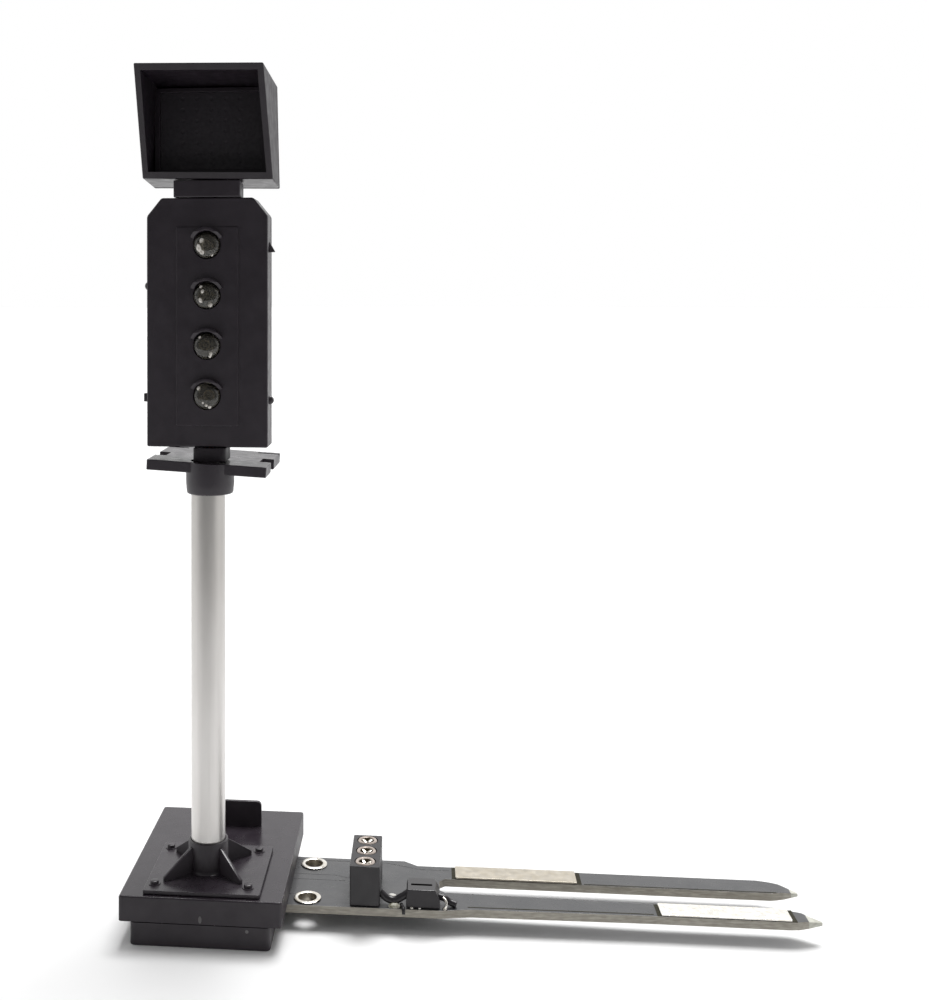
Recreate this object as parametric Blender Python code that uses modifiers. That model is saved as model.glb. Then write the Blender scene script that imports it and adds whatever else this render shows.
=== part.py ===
"""A working model of a four-aspect colour-light signal with a route box, at 4 mm to the foot.

Axes: +X runs along the fork that slides under the track, +Y points away from the lamps and
+Z is up. The origin is where the mast's axis meets the underside of the base.
All the sizes below are in millimetres; mm() turns them into Blender's metres.
"""

import math

import bmesh
import bpy
from mathutils import Matrix, Vector

MM = 0.001

# Track that the fork slides under
RAIL_SPACING = 17.4          # rail centre to rail centre on 16.5 mm gauge track
NEAR_RAIL_X = 27.3           # the rail nearer the base

# Clearances
GAP = 0.05                   # between pieces that touch
RUNNING = 0.04               # between the mast tube and the socket it turns in

# Base, made as a tray and a cover
BASE_X = (-6.84, 7.15)
BASE_Y = (-5.47, 13.94)
BASE_TOP = 4.15
COVER_BOTTOM = 1.95
COVER_WALL = 0.8
COVER_ROOF = 0.7
TRAY_INSET = 0.98
TRAY_FLOOR = 0.6
TRAY_WALL = 0.7
TRAY_CHAMFER = 0.5
TAB_X = (-0.6, 3.42)
TAB_Y = 10.25
TAB_THICKNESS = 0.4
TAB_HEIGHT = 2.35

# Mast foot
FOOT_X = (-4.85, 5.2)
FOOT_Y = (-5.0, 4.9)
FOOT_PLATE = 0.3
BOLT_X = 4.06
BOLT_Y = 3.68
BOLT_R = 0.38
BOLT_HEIGHT = 0.32
DRUM_R = 1.75
DRUM_TOP = 7.15
SPIGOT_R = 2.0
SPIGOT_BOTTOM = 3.2
FIN_REACH = 4.55
FIN_TOP = 6.7
FIN_THICKNESS = 0.32

# Mast tube and the bundle of wires in it
TUBE_R = 1.5
TUBE_BORE_R = 1.0
TUBE_BOTTOM = 2.5
TUBE_TOP = 40.35
LOOM_R = 0.45

# Circuit board with its two fingers
BOARD_TOP = 2.07
BOARD_THICKNESS = 0.7
BOARD_LEFT = -4.9
BOARD_Y = (-1.35, 8.45)
SHOULDER_X = (17.2, 18.4)    # where the board's rear edge steps in to the fork
FORK_X = 20.4                # where the fingers part
REAR_FINGER_Y = (5.06, 7.56)
FRONT_FINGER_Y = (-0.28, 1.95)
REAR_TIP = (52.2, 5.95)
FRONT_TIP = (52.8, 0.62)
RING_X = 8.8
RING_Y = (0.12, 6.94)
RING_R = (0.80, 1.22)
RING_BARREL_R = 0.93
CONTACT_LENGTH = 10.9
CONTACT_THICKNESS = 0.12

# Socket for three control wires
SOCKET_X = (12.6, 15.2)
SOCKET_Y = (-0.98, 5.65)
SOCKET_TOP = 5.55
SOCKET_PITCH = 2.2
SLEEVE_FLANGE_R = 0.86
SLEEVE_R = 0.62
SLEEVE_BORE_R = 0.42

# Optical train sensor
SENSOR_X = (17.5, 20.4)
SENSOR_TOP_X = (17.6, 19.8)
SENSOR_Y = (-0.9, 1.85)
SENSOR_TOP = 3.68
LEAD_R = 0.24

# Platform, a little crooked on the tube, and the collar moulded under it
PLATFORM_TILT = math.radians(3.3)
COLLAR_BOTTOM = 37.72
COLLAR_R = (2.06, 2.13)
PLATFORM_X = 5.3
PLATFORM_Y = (-1.5, 9.1)
PLATFORM_TOP = 40.51
PLATFORM_THICKNESS = 0.92
COLLAR_BORE_R = 1.54
COLLAR_ASIDE = 0.18
NOTCH_DEPTH = 1.05
NOTCH_Y = (1.9, 4.2)

# Lamp head
HEAD_HALF = 5.38
HEAD_Z = (41.81, 63.75)
HEAD_CHAMFER = (1.3, 1.6)
HEAD_FRONT_Y = -0.6
HEAD_BACK_Y = 2.0
HEAD_WALL = 0.6
NECK_X = (-1.23, 1.67)
NECK_Y = (-0.95, 2.4)
NECK_BOTTOM = 40.55
STEM_R = 0.96
STEM_BOTTOM = 37.6
STEM_BORE_R = 0.62
LAMP_NAMES = ("led_red", "led_lower_yellow", "led_green", "led_upper_yellow")
LAMP_FIRST_Z = 46.32
LAMP_PITCH = 4.42
LAMP_R = 1.15
LAMP_FLANGE_R = 1.4
LAMP_HOOD_R = (1.27, 1.57)
LAMP_HOOD_LENGTH = 0.75
HEAD_BOARD_Y = (0.6, 0.95)
HEAD_BOARD_HALF = 3.9
HEAD_BOARD_Z = (44.4, 62.0)
HEAD_COVER = 0.45

# Route box above the head
BOX_X = 0.05                 # the box's centre
BOX_ROLL = 0.012
BRACKET_X = (-3.0, 2.95)
BRACKET_Y = (-0.6, 1.6)
BOX_TOP_FRONT = (-5.9, 74.66)
BOX_TOP_BACK = (4.2, 74.25)
BOX_BOTTOM_FRONT = (-0.6, 65.4)
BOX_BOTTOM_BACK = (4.6, 64.95)
BOX_HALF_TOP = 5.52
BOX_HALF_BOTTOM = 5.8
BOX_WALL = 0.55
BOX_COVER = 0.6
SCREEN_Y = (1.4, 1.9)
MATRIX_Y = (2.0, 2.6)
BOX_BOARD_Y = (2.7, 3.0)


# ---------------------------------------------------------------- making things

def mm(*values):
    return Vector([value * MM for value in values])


def start():
    """Empties the scene and makes one collection for the parts and one for the cutters."""
    for obj in list(bpy.data.objects):
        bpy.data.objects.remove(obj)
    made = []
    for name in ("signal_mast", "cutters"):
        collection = bpy.data.collections.new(name)
        bpy.context.scene.collection.children.link(collection)
        made.append(collection)
    return made


PARTS, CUTTERS = start()


def material(name, colour, roughness, metallic=0.0, alpha=1.0):
    made = bpy.data.materials.new(name)
    made.use_nodes = True
    shader = made.node_tree.nodes["Principled BSDF"]
    shader.inputs["Base Color"].default_value = (*colour, 1.0)
    shader.inputs["Roughness"].default_value = roughness
    shader.inputs["Metallic"].default_value = metallic
    shader.inputs["Alpha"].default_value = alpha
    return made


def place(name, mesh, as_cutter=False):
    obj = bpy.data.objects.new(name, mesh)
    if as_cutter:
        CUTTERS.objects.link(obj)
        obj.hide_render = True
        obj.display_type = "WIRE"
    else:
        PARTS.objects.link(obj)
    return obj


def block(name, x, y, z, as_cutter=False):
    """A box between two values on each axis."""
    shape = bmesh.new()
    bmesh.ops.create_cube(shape, size=1.0)
    size = mm(x[1] - x[0], y[1] - y[0], z[1] - z[0])
    middle = mm((x[0] + x[1]) / 2, (y[0] + y[1]) / 2, (z[0] + z[1]) / 2)
    bmesh.ops.scale(shape, vec=size, verts=shape.verts)
    mesh = bpy.data.meshes.new(name)
    shape.to_mesh(mesh)
    shape.free()
    obj = place(name, mesh, as_cutter)
    obj.location = middle
    return obj


def post(name, centre, radius, z, sides=32, as_cutter=False):
    """An upright cylinder between two heights."""
    shape = bmesh.new()
    bmesh.ops.create_cone(
        shape, cap_ends=True, segments=sides,
        radius1=radius * MM, radius2=radius * MM, depth=(z[1] - z[0]) * MM,
    )
    mesh = bpy.data.meshes.new(name)
    shape.to_mesh(mesh)
    shape.free()
    obj = place(name, mesh, as_cutter)
    obj.location = mm(centre[0], centre[1], (z[0] + z[1]) / 2)
    return obj


def turned(name, profile, sides=32, closed=False, as_cutter=False):
    """A solid of revolution about Z from (radius, height) points that run down its outer side.

    A closed profile makes a ring or a tube, and an open one starts and ends on the axis.
    """
    shape = bmesh.new()
    points = [shape.verts.new(mm(radius, 0, height)) for radius, height in profile]
    for first, second in zip(points, points[1:]):
        shape.edges.new((first, second))
    if closed:
        shape.edges.new((points[-1], points[0]))
    mesh = bpy.data.meshes.new(name)
    shape.to_mesh(mesh)
    shape.free()
    obj = place(name, mesh, as_cutter)
    screw = obj.modifiers.new("turn", "SCREW")
    screw.steps = sides
    screw.render_steps = sides
    screw.use_merge_vertices = True
    screw.merge_threshold = 1e-7
    screw.use_normal_calculate = False
    return obj


def plate(name, outline, span, plane="XY", as_cutter=False):
    """A flat outline with thickness: plane XY is extruded along Z, XZ along Y and YZ along X."""
    curve = bpy.data.curves.new(name, "CURVE")
    curve.dimensions = "2D"
    curve.fill_mode = "BOTH"
    curve.extrude = (span[1] - span[0]) / 2 * MM
    spline = curve.splines.new("POLY")
    spline.points.add(len(outline) - 1)
    for point, (first, second) in zip(spline.points, outline):
        point.co = (*mm(first, second), 0, 1)
    spline.use_cyclic_u = True
    drawn = place(name, curve)
    turn = {
        "XY": Matrix(((1, 0, 0), (0, 1, 0), (0, 0, 1))),
        "XZ": Matrix(((1, 0, 0), (0, 0, -1), (0, 1, 0))),
        "YZ": Matrix(((0, 0, 1), (1, 0, 0), (0, 1, 0))),
    }[plane].to_4x4()
    middle = (span[0] + span[1]) / 2
    turn.translation = {"XY": mm(0, 0, middle), "XZ": mm(0, middle, 0), "YZ": mm(middle, 0, 0)}[plane]
    drawn.matrix_world = turn
    return as_mesh(drawn, as_cutter)


def wire(name, route, radius, as_cutter=False):
    """A round wire through a smooth curve that passes near the given points."""
    curve = bpy.data.curves.new(name, "CURVE")
    curve.dimensions = "3D"
    curve.bevel_depth = radius * MM
    curve.bevel_resolution = 2
    curve.use_fill_caps = True
    spline = curve.splines.new("POLY")
    points = smooth(route)
    spline.points.add(len(points) - 1)
    for point, where in zip(spline.points, points):
        point.co = (*mm(*where), 1)
    return as_mesh(place(name, curve), as_cutter)


def smooth(route, steps=3):
    """Points along a Catmull-Rom curve through the route's points."""
    ends = [route[0]] + list(route) + [route[-1]]
    points = []
    for a, b, c, d in zip(ends, ends[1:], ends[2:], ends[3:]):
        for step in range(steps):
            t = step / steps
            points.append(tuple(
                0.5 * (2 * q + (r - p) * t + (2 * p - 5 * q + 4 * r - s) * t**2
                       + (3 * q - p - 3 * r + s) * t**3)
                for p, q, r, s in zip(a, b, c, d)
            ))
    return points + [tuple(route[-1])]


def as_mesh(drawn, as_cutter=False):
    """Turns a curve object into a mesh object with its caps welded on."""
    bpy.context.view_layer.update()
    depsgraph = bpy.context.evaluated_depsgraph_get()
    mesh = bpy.data.meshes.new_from_object(drawn.evaluated_get(depsgraph))
    shape = bmesh.new()
    shape.from_mesh(mesh)
    bmesh.ops.remove_doubles(shape, verts=shape.verts, dist=1e-7)
    bmesh.ops.recalc_face_normals(shape, faces=shape.faces)
    shape.to_mesh(mesh)
    shape.free()
    name = drawn.name
    place_at = drawn.matrix_world.copy()
    bpy.data.objects.remove(drawn)
    obj = place(name, mesh, as_cutter)
    obj.matrix_world = place_at
    return obj


def combine(obj, other, operation):
    boolean = obj.modifiers.new(operation.lower(), "BOOLEAN")
    boolean.operation = operation
    boolean.solver = "EXACT"
    boolean.object = other
    return obj


def cut(obj, *cutters):
    for cutter in cutters:
        combine(obj, cutter, "DIFFERENCE")
    return obj


def join(obj, *others):
    for other in others:
        combine(obj, other, "UNION")
    return obj


def round_edges(obj, width, segments=2, angle=40):
    bevel = obj.modifiers.new("edges", "BEVEL")
    bevel.width = width * MM
    bevel.segments = segments
    bevel.limit_method = "ANGLE"
    bevel.angle_limit = math.radians(angle)
    return obj


def finish(obj, surface, parent):
    """Gives a piece its material and its parent without moving it."""
    if not obj.data.materials:
        obj.data.materials.append(surface)
    obj.data.shade_smooth()
    obj.data.set_sharp_from_angle(angle=math.radians(35))
    place_at = obj.matrix_basis.copy()
    obj.parent = parent
    obj.matrix_parent_inverse = parent.matrix_basis.inverted()
    obj.matrix_basis = place_at
    return obj


def empty(name, location=(0, 0, 0), parent=None):
    made = bpy.data.objects.new(name, None)
    PARTS.objects.link(made)
    made.location = mm(*location)
    made.parent = parent
    return made


# ---------------------------------------------------------------- materials

BLACK_PLASTIC = material("black_plastic", (0.022, 0.021, 0.025), 0.42)
BOARD_BLACK = material("board_black", (0.055, 0.058, 0.062), 0.38)
TINNED = material("tinned_metal", (0.78, 0.77, 0.72), 0.28, 1.0)
ALUMINIUM = material("aluminium", (0.80, 0.80, 0.81), 0.32, 1.0)
CLEAR_LENS = material("clear_lens", (0.62, 0.60, 0.56), 0.08, 0.0, 0.55)
SMOKED = material("smoked_screen", (0.03, 0.03, 0.035), 0.15)
CHIP_BLACK = material("chip_black", (0.03, 0.03, 0.03), 0.55)
CERAMIC = material("ceramic", (0.70, 0.66, 0.55), 0.5)
TANTALUM = material("tantalum_yellow", (0.65, 0.42, 0.08), 0.45)
ENAMEL = material("enamelled_copper", (0.45, 0.16, 0.06), 0.3, 0.8)


# ---------------------------------------------------------------- base

def base_cover():
    cover = block("base_cover", BASE_X, BASE_Y, (COVER_BOTTOM + GAP, BASE_TOP))
    round_edges(cover, 0.14)
    tab_z = (BASE_TOP - 0.3, BASE_TOP + TAB_HEIGHT)
    tab = rear_tab(tab_z)
    inside = block(
        "cover_inside",
        (BASE_X[0] + COVER_WALL, BASE_X[1] - COVER_WALL),
        (BASE_Y[0] + COVER_WALL, BASE_Y[1] - COVER_WALL),
        (COVER_BOTTOM - 1, BASE_TOP - COVER_ROOF), as_cutter=True,
    )
    board_slot = block(
        "cover_board_slot", (BASE_X[1] - 2, BASE_X[1] + 1),
        (BOARD_Y[0] - GAP, BOARD_Y[1] + GAP), (COVER_BOTTOM - 1, BOARD_TOP + GAP),
        as_cutter=True,
    )
    mast_hole = post(
        "cover_mast_hole", (0, 0), SPIGOT_R + GAP, (BASE_TOP - 2, BASE_TOP + 1), as_cutter=True
    )
    join(cover, tab)
    return cut(cover, inside, board_slot, mast_hole)


def rear_tab(z):
    """The thin upright tab behind the mast, with one rounded top corner."""
    radius = 0.5
    corner = [
        (TAB_X[1] - radius + radius * math.cos(a), z[1] - radius + radius * math.sin(a))
        for a in (math.radians(15 * i) for i in range(7))
    ]
    outline = [(TAB_X[0], z[0]), (TAB_X[1], z[0])] + corner + [(TAB_X[0], z[1])]
    half = TAB_THICKNESS / 2
    return plate("tab_shape", outline, (TAB_Y - half, TAB_Y + half), "XZ", as_cutter=True)


def base_tray():
    x = (BASE_X[0] + TRAY_INSET, BASE_X[1] - TRAY_INSET)
    outline = [
        (x[0] + TRAY_CHAMFER, BASE_Y[0]), (x[1] - TRAY_CHAMFER, BASE_Y[0]),
        (x[1], BASE_Y[0] + TRAY_CHAMFER), (x[1], BASE_Y[1]),
        (x[0], BASE_Y[1]), (x[0], BASE_Y[0] + TRAY_CHAMFER),
    ]
    tray = plate("base_tray", outline, (0, COVER_BOTTOM))
    inside = block(
        "tray_inside", (x[0] + TRAY_WALL, x[1] - TRAY_WALL),
        (BASE_Y[0] + TRAY_WALL, BASE_Y[1] - TRAY_WALL), (TRAY_FLOOR, COVER_BOTTOM + 1),
        as_cutter=True,
    )
    board_notch = block(
        "tray_board_notch", (x[1] - 2, x[1] + 1), (BOARD_Y[0] - GAP, BOARD_Y[1] + GAP),
        (BOARD_TOP - BOARD_THICKNESS - GAP, COVER_BOTTOM + 1), as_cutter=True,
    )
    cut(tray, inside, board_notch)
    pillar_z = (TRAY_FLOOR - 0.2, BOARD_TOP - BOARD_THICKNESS - GAP)
    for number, centre in enumerate(((-4.0, -0.6), (-4.0, 7.5), (4.2, 7.5), (4.2, -0.6))):
        join(tray, post(f"tray_pillar_{number}", centre, 0.6, pillar_z, 12, as_cutter=True))
    return tray


def mast_foot():
    plate_z = (BASE_TOP + GAP, BASE_TOP + GAP + FOOT_PLATE)
    foot = block("mast_foot", FOOT_X, FOOT_Y, plate_z)
    round_edges(foot, 0.08, 1)
    drum = turned("foot_drum", [
        (0, DRUM_TOP), (DRUM_R - 0.1, DRUM_TOP), (DRUM_R, DRUM_TOP - 0.1),
        (DRUM_R, plate_z[1] + 0.3), (DRUM_R + 0.25, plate_z[0] + 0.1),
        (SPIGOT_R, plate_z[0] + 0.1), (SPIGOT_R, SPIGOT_BOTTOM), (0, SPIGOT_BOTTOM),
    ], as_cutter=True)
    join(foot, drum)
    root = plate_z[0] + 0.1
    for number, (side, end) in enumerate(((-1, -1), (1, -1), (1, 1), (-1, 1))):
        centre = (side * BOLT_X, end * BOLT_Y)
        join(foot, foot_fin(number, root, math.atan2(centre[1], centre[0])))
        bolt_z = (root, plate_z[1] + BOLT_HEIGHT)
        join(foot, post(f"foot_bolt_{number}", centre, BOLT_R, bolt_z, 6, as_cutter=True))
    bore = post(
        "foot_bore", (0, 0), TUBE_R + RUNNING, (SPIGOT_BOTTOM - 1, DRUM_TOP + 1), 48, as_cutter=True
    )
    return cut(foot, bore)


def foot_fin(number, bottom, angle):
    """One of the four thin gussets that run from the drum towards the bolts."""
    outline = [(DRUM_R - 0.2, bottom), (FIN_REACH, bottom), (FIN_REACH, BASE_TOP + 0.5),
               (DRUM_R + 0.1, FIN_TOP), (DRUM_R - 0.2, FIN_TOP)]
    half = FIN_THICKNESS / 2
    fin = plate(f"foot_fin_{number}", outline, (-half, half), "XZ", as_cutter=True)
    fin.matrix_world = Matrix.Rotation(angle, 4, "Z") @ fin.matrix_world
    return fin


# ---------------------------------------------------------------- circuit board

def board_outline():
    """The board's outline: a broad part that splits into two fingers with pointed tips.

    The front finger is widest where it starts, and each tip's point is nearer its front side.
    """
    rear, front = REAR_FINGER_Y, FRONT_FINGER_Y
    front_tip, rear_tip = FRONT_TIP, REAR_TIP
    return [
        (BOARD_LEFT, BOARD_Y[0]), (FORK_X, BOARD_Y[0] + 0.25), (FORK_X + 2.6, front[0] - 0.36),
        (38.5, front[0]), (front_tip[0] - 3.0, front[0]), (front_tip[0] - 2.0, front[0] + 0.1),
        (front_tip[0] - 1.2, front[0] + 0.32), (front_tip[0], front_tip[1] - 0.12),
        (front_tip[0], front_tip[1] + 0.12), (front_tip[0] - 0.8, front[1] - 0.85),
        (front_tip[0] - 1.5, front[1] - 0.4), (front_tip[0] - 2.4, front[1] - 0.1),
        (front_tip[0] - 3.4, front[1]), (38.5, front[1]), (30.0, front[1] + 0.18),
        (FORK_X + 0.5, front[1] + 0.45), (FORK_X, front[1] + 0.9), (FORK_X, rear[0] - 0.5),
        (FORK_X + 0.5, rear[0]), (rear_tip[0] - 2.6, rear[0]), (rear_tip[0] - 1.4, rear[0] + 0.22),
        (rear_tip[0], rear_tip[1] - 0.12), (rear_tip[0], rear_tip[1] + 0.12),
        (rear_tip[0] - 0.5, rear[1] - 1.15), (rear_tip[0] - 1.2, rear[1] - 0.7),
        (rear_tip[0] - 2.1, rear[1] - 0.28), (rear_tip[0] - 3.2, rear[1]),
        (SHOULDER_X[1], rear[1]), (SHOULDER_X[0], BOARD_Y[1]), (BOARD_LEFT, BOARD_Y[1]),
    ]


def contact_board():
    span = (BOARD_TOP - BOARD_THICKNESS, BOARD_TOP)
    board = plate("contact_board", board_outline(), span)
    for number, y in enumerate(RING_Y):
        cut(board, post(
            f"board_hole_{number}", (RING_X, y), RING_BARREL_R + GAP,
            (span[0] - 1, span[1] + 1), 24, as_cutter=True,
        ))
    return board


def ring_pad(name, y):
    """A plated eyelet in the board, with its flange on top."""
    bottom = BOARD_TOP - BOARD_THICKNESS + GAP
    flange = (BOARD_TOP + GAP, BOARD_TOP + GAP + 0.1)
    ring = turned(name, [
        (RING_R[0] + 0.06, flange[1]), (RING_R[1] - 0.06, flange[1]), (RING_R[1], flange[0]),
        (RING_BARREL_R, flange[0]), (RING_BARREL_R, bottom), (RING_R[0], bottom),
        (RING_R[0], flange[0]),
    ], 28, closed=True)
    ring.location = mm(RING_X, y, 0)
    return ring


def rail_contact(name, middle_x, finger_y):
    """The flat contact on one finger that one rail rests on."""
    inset = 0.08
    contact = block(
        name, (middle_x - CONTACT_LENGTH / 2, middle_x + CONTACT_LENGTH / 2),
        (finger_y[0] + inset, finger_y[1] - inset),
        (BOARD_TOP + GAP, BOARD_TOP + GAP + CONTACT_THICKNESS),
    )
    return round_edges(contact, 0.03, 1)


# ---------------------------------------------------------------- socket and sensor

def socket_centres():
    middle = (SOCKET_Y[0] + SOCKET_Y[1]) / 2
    x = (SOCKET_X[0] + SOCKET_X[1]) / 2
    return [(x, middle + SOCKET_PITCH * step) for step in (-1, 0, 1)]


def socket_housing():
    z = (BOARD_TOP + GAP, SOCKET_TOP)
    housing = block("socket_housing", SOCKET_X, SOCKET_Y, z)
    round_edges(housing, 0.08, 1)
    for number, centre in enumerate(socket_centres()):
        hole = turned(f"socket_hole_{number}", [
            (0, z[1] + 1), (SLEEVE_FLANGE_R + GAP, z[1] + 1),
            (SLEEVE_FLANGE_R + GAP, z[1] - 0.35), (SLEEVE_R + GAP, z[1] - 0.35),
            (SLEEVE_R + GAP, z[0] - 1), (0, z[0] - 1),
        ], 20, as_cutter=True)
        hole.location = mm(*centre, 0)
        cut(housing, hole)
    return housing


def socket_sleeve(name, centre):
    """A turned contact sleeve, open at the top and closed at the foot."""
    top = SOCKET_TOP + 0.05
    flange = SOCKET_TOP - 0.35 + GAP
    bottom = BOARD_TOP + 2 * GAP
    sleeve = turned(name, [
        (0, bottom + 0.5), (SLEEVE_BORE_R, bottom + 0.7), (SLEEVE_BORE_R, top - 0.15),
        (SLEEVE_BORE_R + 0.14, top), (SLEEVE_FLANGE_R, top), (SLEEVE_FLANGE_R, flange),
        (SLEEVE_R, flange), (SLEEVE_R, bottom), (0, bottom),
    ], 20)
    sleeve.location = mm(*centre, 0)
    return sleeve


def sensor_body():
    bottom = BOARD_TOP + GAP
    outline = [
        (SENSOR_X[0], bottom), (SENSOR_X[1], bottom), (SENSOR_X[1], bottom + 0.55),
        (SENSOR_TOP_X[1], SENSOR_TOP), (SENSOR_TOP_X[0], SENSOR_TOP), (SENSOR_X[0], bottom + 0.9),
    ]
    body = plate("sensor_body", outline, SENSOR_Y, "XZ")
    round_edges(body, 0.06, 1)
    middle = (SENSOR_Y[0] + SENSOR_Y[1]) / 2 - 0.3
    slot = block(
        "sensor_slot", (SENSOR_TOP_X[0] + 0.3, SENSOR_TOP_X[1] - 0.25),
        (middle - 0.17, middle + 0.17), (SENSOR_TOP - 0.35, SENSOR_TOP + 1), as_cutter=True,
    )
    return cut(body, slot)


def sensor_lead(name, side):
    """A lead from one end of the sensor down to the board: side is -1 for left, 1 for right."""
    low = BOARD_TOP + GAP + LEAD_R
    if side < 0:
        x = SENSOR_X[0] - GAP
        route = [(x, -0.35, 3.0), (x - 0.35, -0.4, 2.95), (x - 0.75, -0.45, low + 0.25),
                 (x - 1.25, -0.45, low)]
    else:
        x = SENSOR_X[1] + GAP
        route = [(x, 0.0, 2.72), (x + 0.35, -0.1, 2.65), (x + 0.8, -0.25, low + 0.1),
                 (x + 1.4, -0.4, low)]
    return wire(name, route, LEAD_R)


# ---------------------------------------------------------------- electronics in the base

def chip(name, centre, size):
    """A small moulded component that sits flat on the board."""
    body = block(
        name, (centre[0] - size[0] / 2, centre[0] + size[0] / 2),
        (centre[1] - size[1] / 2, centre[1] + size[1] / 2),
        (BOARD_TOP + GAP, BOARD_TOP + GAP + size[2]),
    )
    return round_edges(body, 0.06, 1)


def electronics(parent):
    """What a digital signal needs in its base: a rectifier, a reservoir, a controller, resistors."""
    finish(chip("controller_chip", (-2.4, 5.2), (3.9, 4.4, 1.0)), CHIP_BLACK, parent)
    finish(chip("bridge_rectifier", (3.3, 5.6), (3.0, 2.6, 1.1)), CHIP_BLACK, parent)
    finish(chip("reservoir_capacitor", (4.2, 1.6), (1.6, 3.2, 1.15)), TANTALUM, parent)
    for number in range(4):
        resistor = chip(f"led_resistor_{number + 1}", (-4.1, -0.75 + 1.15 * number), (1.2, 0.6, 0.4))
        finish(resistor, CERAMIC, parent)


# ---------------------------------------------------------------- mast

def mast_tube():
    lip = 0.08
    return turned("mast_tube", [
        (TUBE_BORE_R, TUBE_TOP), (TUBE_R - lip, TUBE_TOP), (TUBE_R, TUBE_TOP - lip),
        (TUBE_R, TUBE_BOTTOM), (TUBE_BORE_R, TUBE_BOTTOM),
    ], 48, closed=True)


def wire_loom():
    """The bundle of fine wires, from the board up the tube and back into the head."""
    route = [(0, 0, BOARD_TOP + 0.3), (0, 0, 12), (0, 0, 22), (0, 0, 32), (0, 0, 39.5),
             (0, 0.15, 40.8), (0, 0.75, 41.8), (0, 1.45, 42.6), (0, 1.5, 44.5)]
    return wire("wire_loom", route, LOOM_R)


def platform():
    top = PLATFORM_TOP
    bottom = top - PLATFORM_THICKNESS
    deck = block("platform", (-PLATFORM_X, PLATFORM_X), PLATFORM_Y, (bottom, top))
    round_edges(deck, 0.06, 1)
    collar = turned("collar_shape", [
        (0, top - 0.02), (COLLAR_R[1], top - 0.02), (COLLAR_R[1], bottom - 0.9),
        (COLLAR_R[0], COLLAR_BOTTOM + 0.15),
        (COLLAR_R[0] - 0.15, COLLAR_BOTTOM), (0, COLLAR_BOTTOM),
    ], as_cutter=True)
    collar.location.x = COLLAR_ASIDE * 0.001
    join(deck, collar)
    for side in (-1, 1):
        x = sorted((side * (PLATFORM_X - NOTCH_DEPTH), side * (PLATFORM_X + 1)))
        cut(deck, block(
            f"platform_notch_{side}", x, NOTCH_Y, (bottom - 1, top + 1), as_cutter=True
        ))
    bore = post(
        "collar_bore", (0, 0), COLLAR_BORE_R, (COLLAR_BOTTOM - 1, top + 1), 48, as_cutter=True
    )
    cut(deck, bore)
    return tilt_about((COLLAR_BOTTOM + top) / 2, PLATFORM_TILT, deck, *(
        bpy.data.objects[f"platform_notch_{side}"] for side in (-1, 1)
    ))


def tilt_about(height, angle, first, *others):
    """Leans pieces about Y through a point on the mast's axis: the right end goes down."""
    pivot = Matrix.Translation(mm(0, 0, height))
    lean = pivot @ Matrix.Rotation(angle, 4, "Y") @ pivot.inverted()
    for obj in (first, *others):
        obj.matrix_basis = lean @ obj.matrix_basis
    return first


# ---------------------------------------------------------------- lamp head

def head_neck():
    """The block under the head, whose round stem is a push fit in the top of the tube."""
    top = HEAD_Z[0] - GAP
    neck = block("head_neck", NECK_X, NECK_Y, (NECK_BOTTOM, top))
    round_edges(neck, 0.55, 3, 80)
    stem = post("neck_stem", (0, 0), STEM_R, (STEM_BOTTOM, NECK_BOTTOM + 0.3), 24, as_cutter=True)
    bore = post("neck_bore", (0, 0), STEM_BORE_R, (STEM_BOTTOM - 1, top + 1), 20, as_cutter=True)
    pocket = block(
        "neck_pocket", (-0.75, 0.75), (-0.3, 1.7), (NECK_BOTTOM + 0.35, top + 1), as_cutter=True
    )
    join(neck, stem)
    return cut(neck, bore, pocket)


def head_outline(inset=0.0):
    half = HEAD_HALF - inset
    bottom, top = HEAD_Z[0] + inset, HEAD_Z[1] - inset
    across, down = HEAD_CHAMFER
    return [
        (-half, bottom), (half, bottom), (half, top - down), (half - across, top),
        (-half + across, top), (-half, top - down),
    ]


def lamp_heights():
    return [LAMP_FIRST_Z + LAMP_PITCH * number for number in range(len(LAMP_NAMES))]


def head_front():
    """The front moulding: a tray behind the face, four lamp holes and a hood over each."""
    front = plate("head_front", head_outline(), (HEAD_FRONT_Y, HEAD_BACK_Y), "XZ")
    round_edges(front, 0.1, 2, 60)
    for number, z in enumerate(lamp_heights()):
        join(front, lamp_hood(number, z))
    inside = plate(
        "head_inside", head_outline(HEAD_WALL), (HEAD_FRONT_Y + HEAD_WALL, HEAD_BACK_Y + 1),
        "XZ", as_cutter=True,
    )
    wire_hole = block(
        "head_wire_hole", (-0.75, 0.75), (0.15, 1.7), (HEAD_Z[0] - 1, HEAD_Z[0] + 1),
        as_cutter=True,
    )
    tongue_hole = block(
        "head_tongue_hole", (-1.5, 1.5), (0.3, 1.3), (HEAD_Z[1] - 1, HEAD_Z[1] + 1),
        as_cutter=True,
    )
    cut(front, inside, wire_hole, tongue_hole)
    for number, z in enumerate(lamp_heights()):
        cut(front, facing(post(
            f"lamp_hole_{number}", (0, 0), LAMP_R + GAP, (-1, 2), 28, as_cutter=True
        ), z))
    return front


def facing(obj, z):
    """Turns a piece made about the Z axis to face forwards from the head's face at a height."""
    turn = Matrix.Rotation(math.radians(90), 4, "X")
    turn.translation = mm(0, HEAD_FRONT_Y, z)
    obj.matrix_basis = turn @ obj.matrix_basis
    return obj


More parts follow.
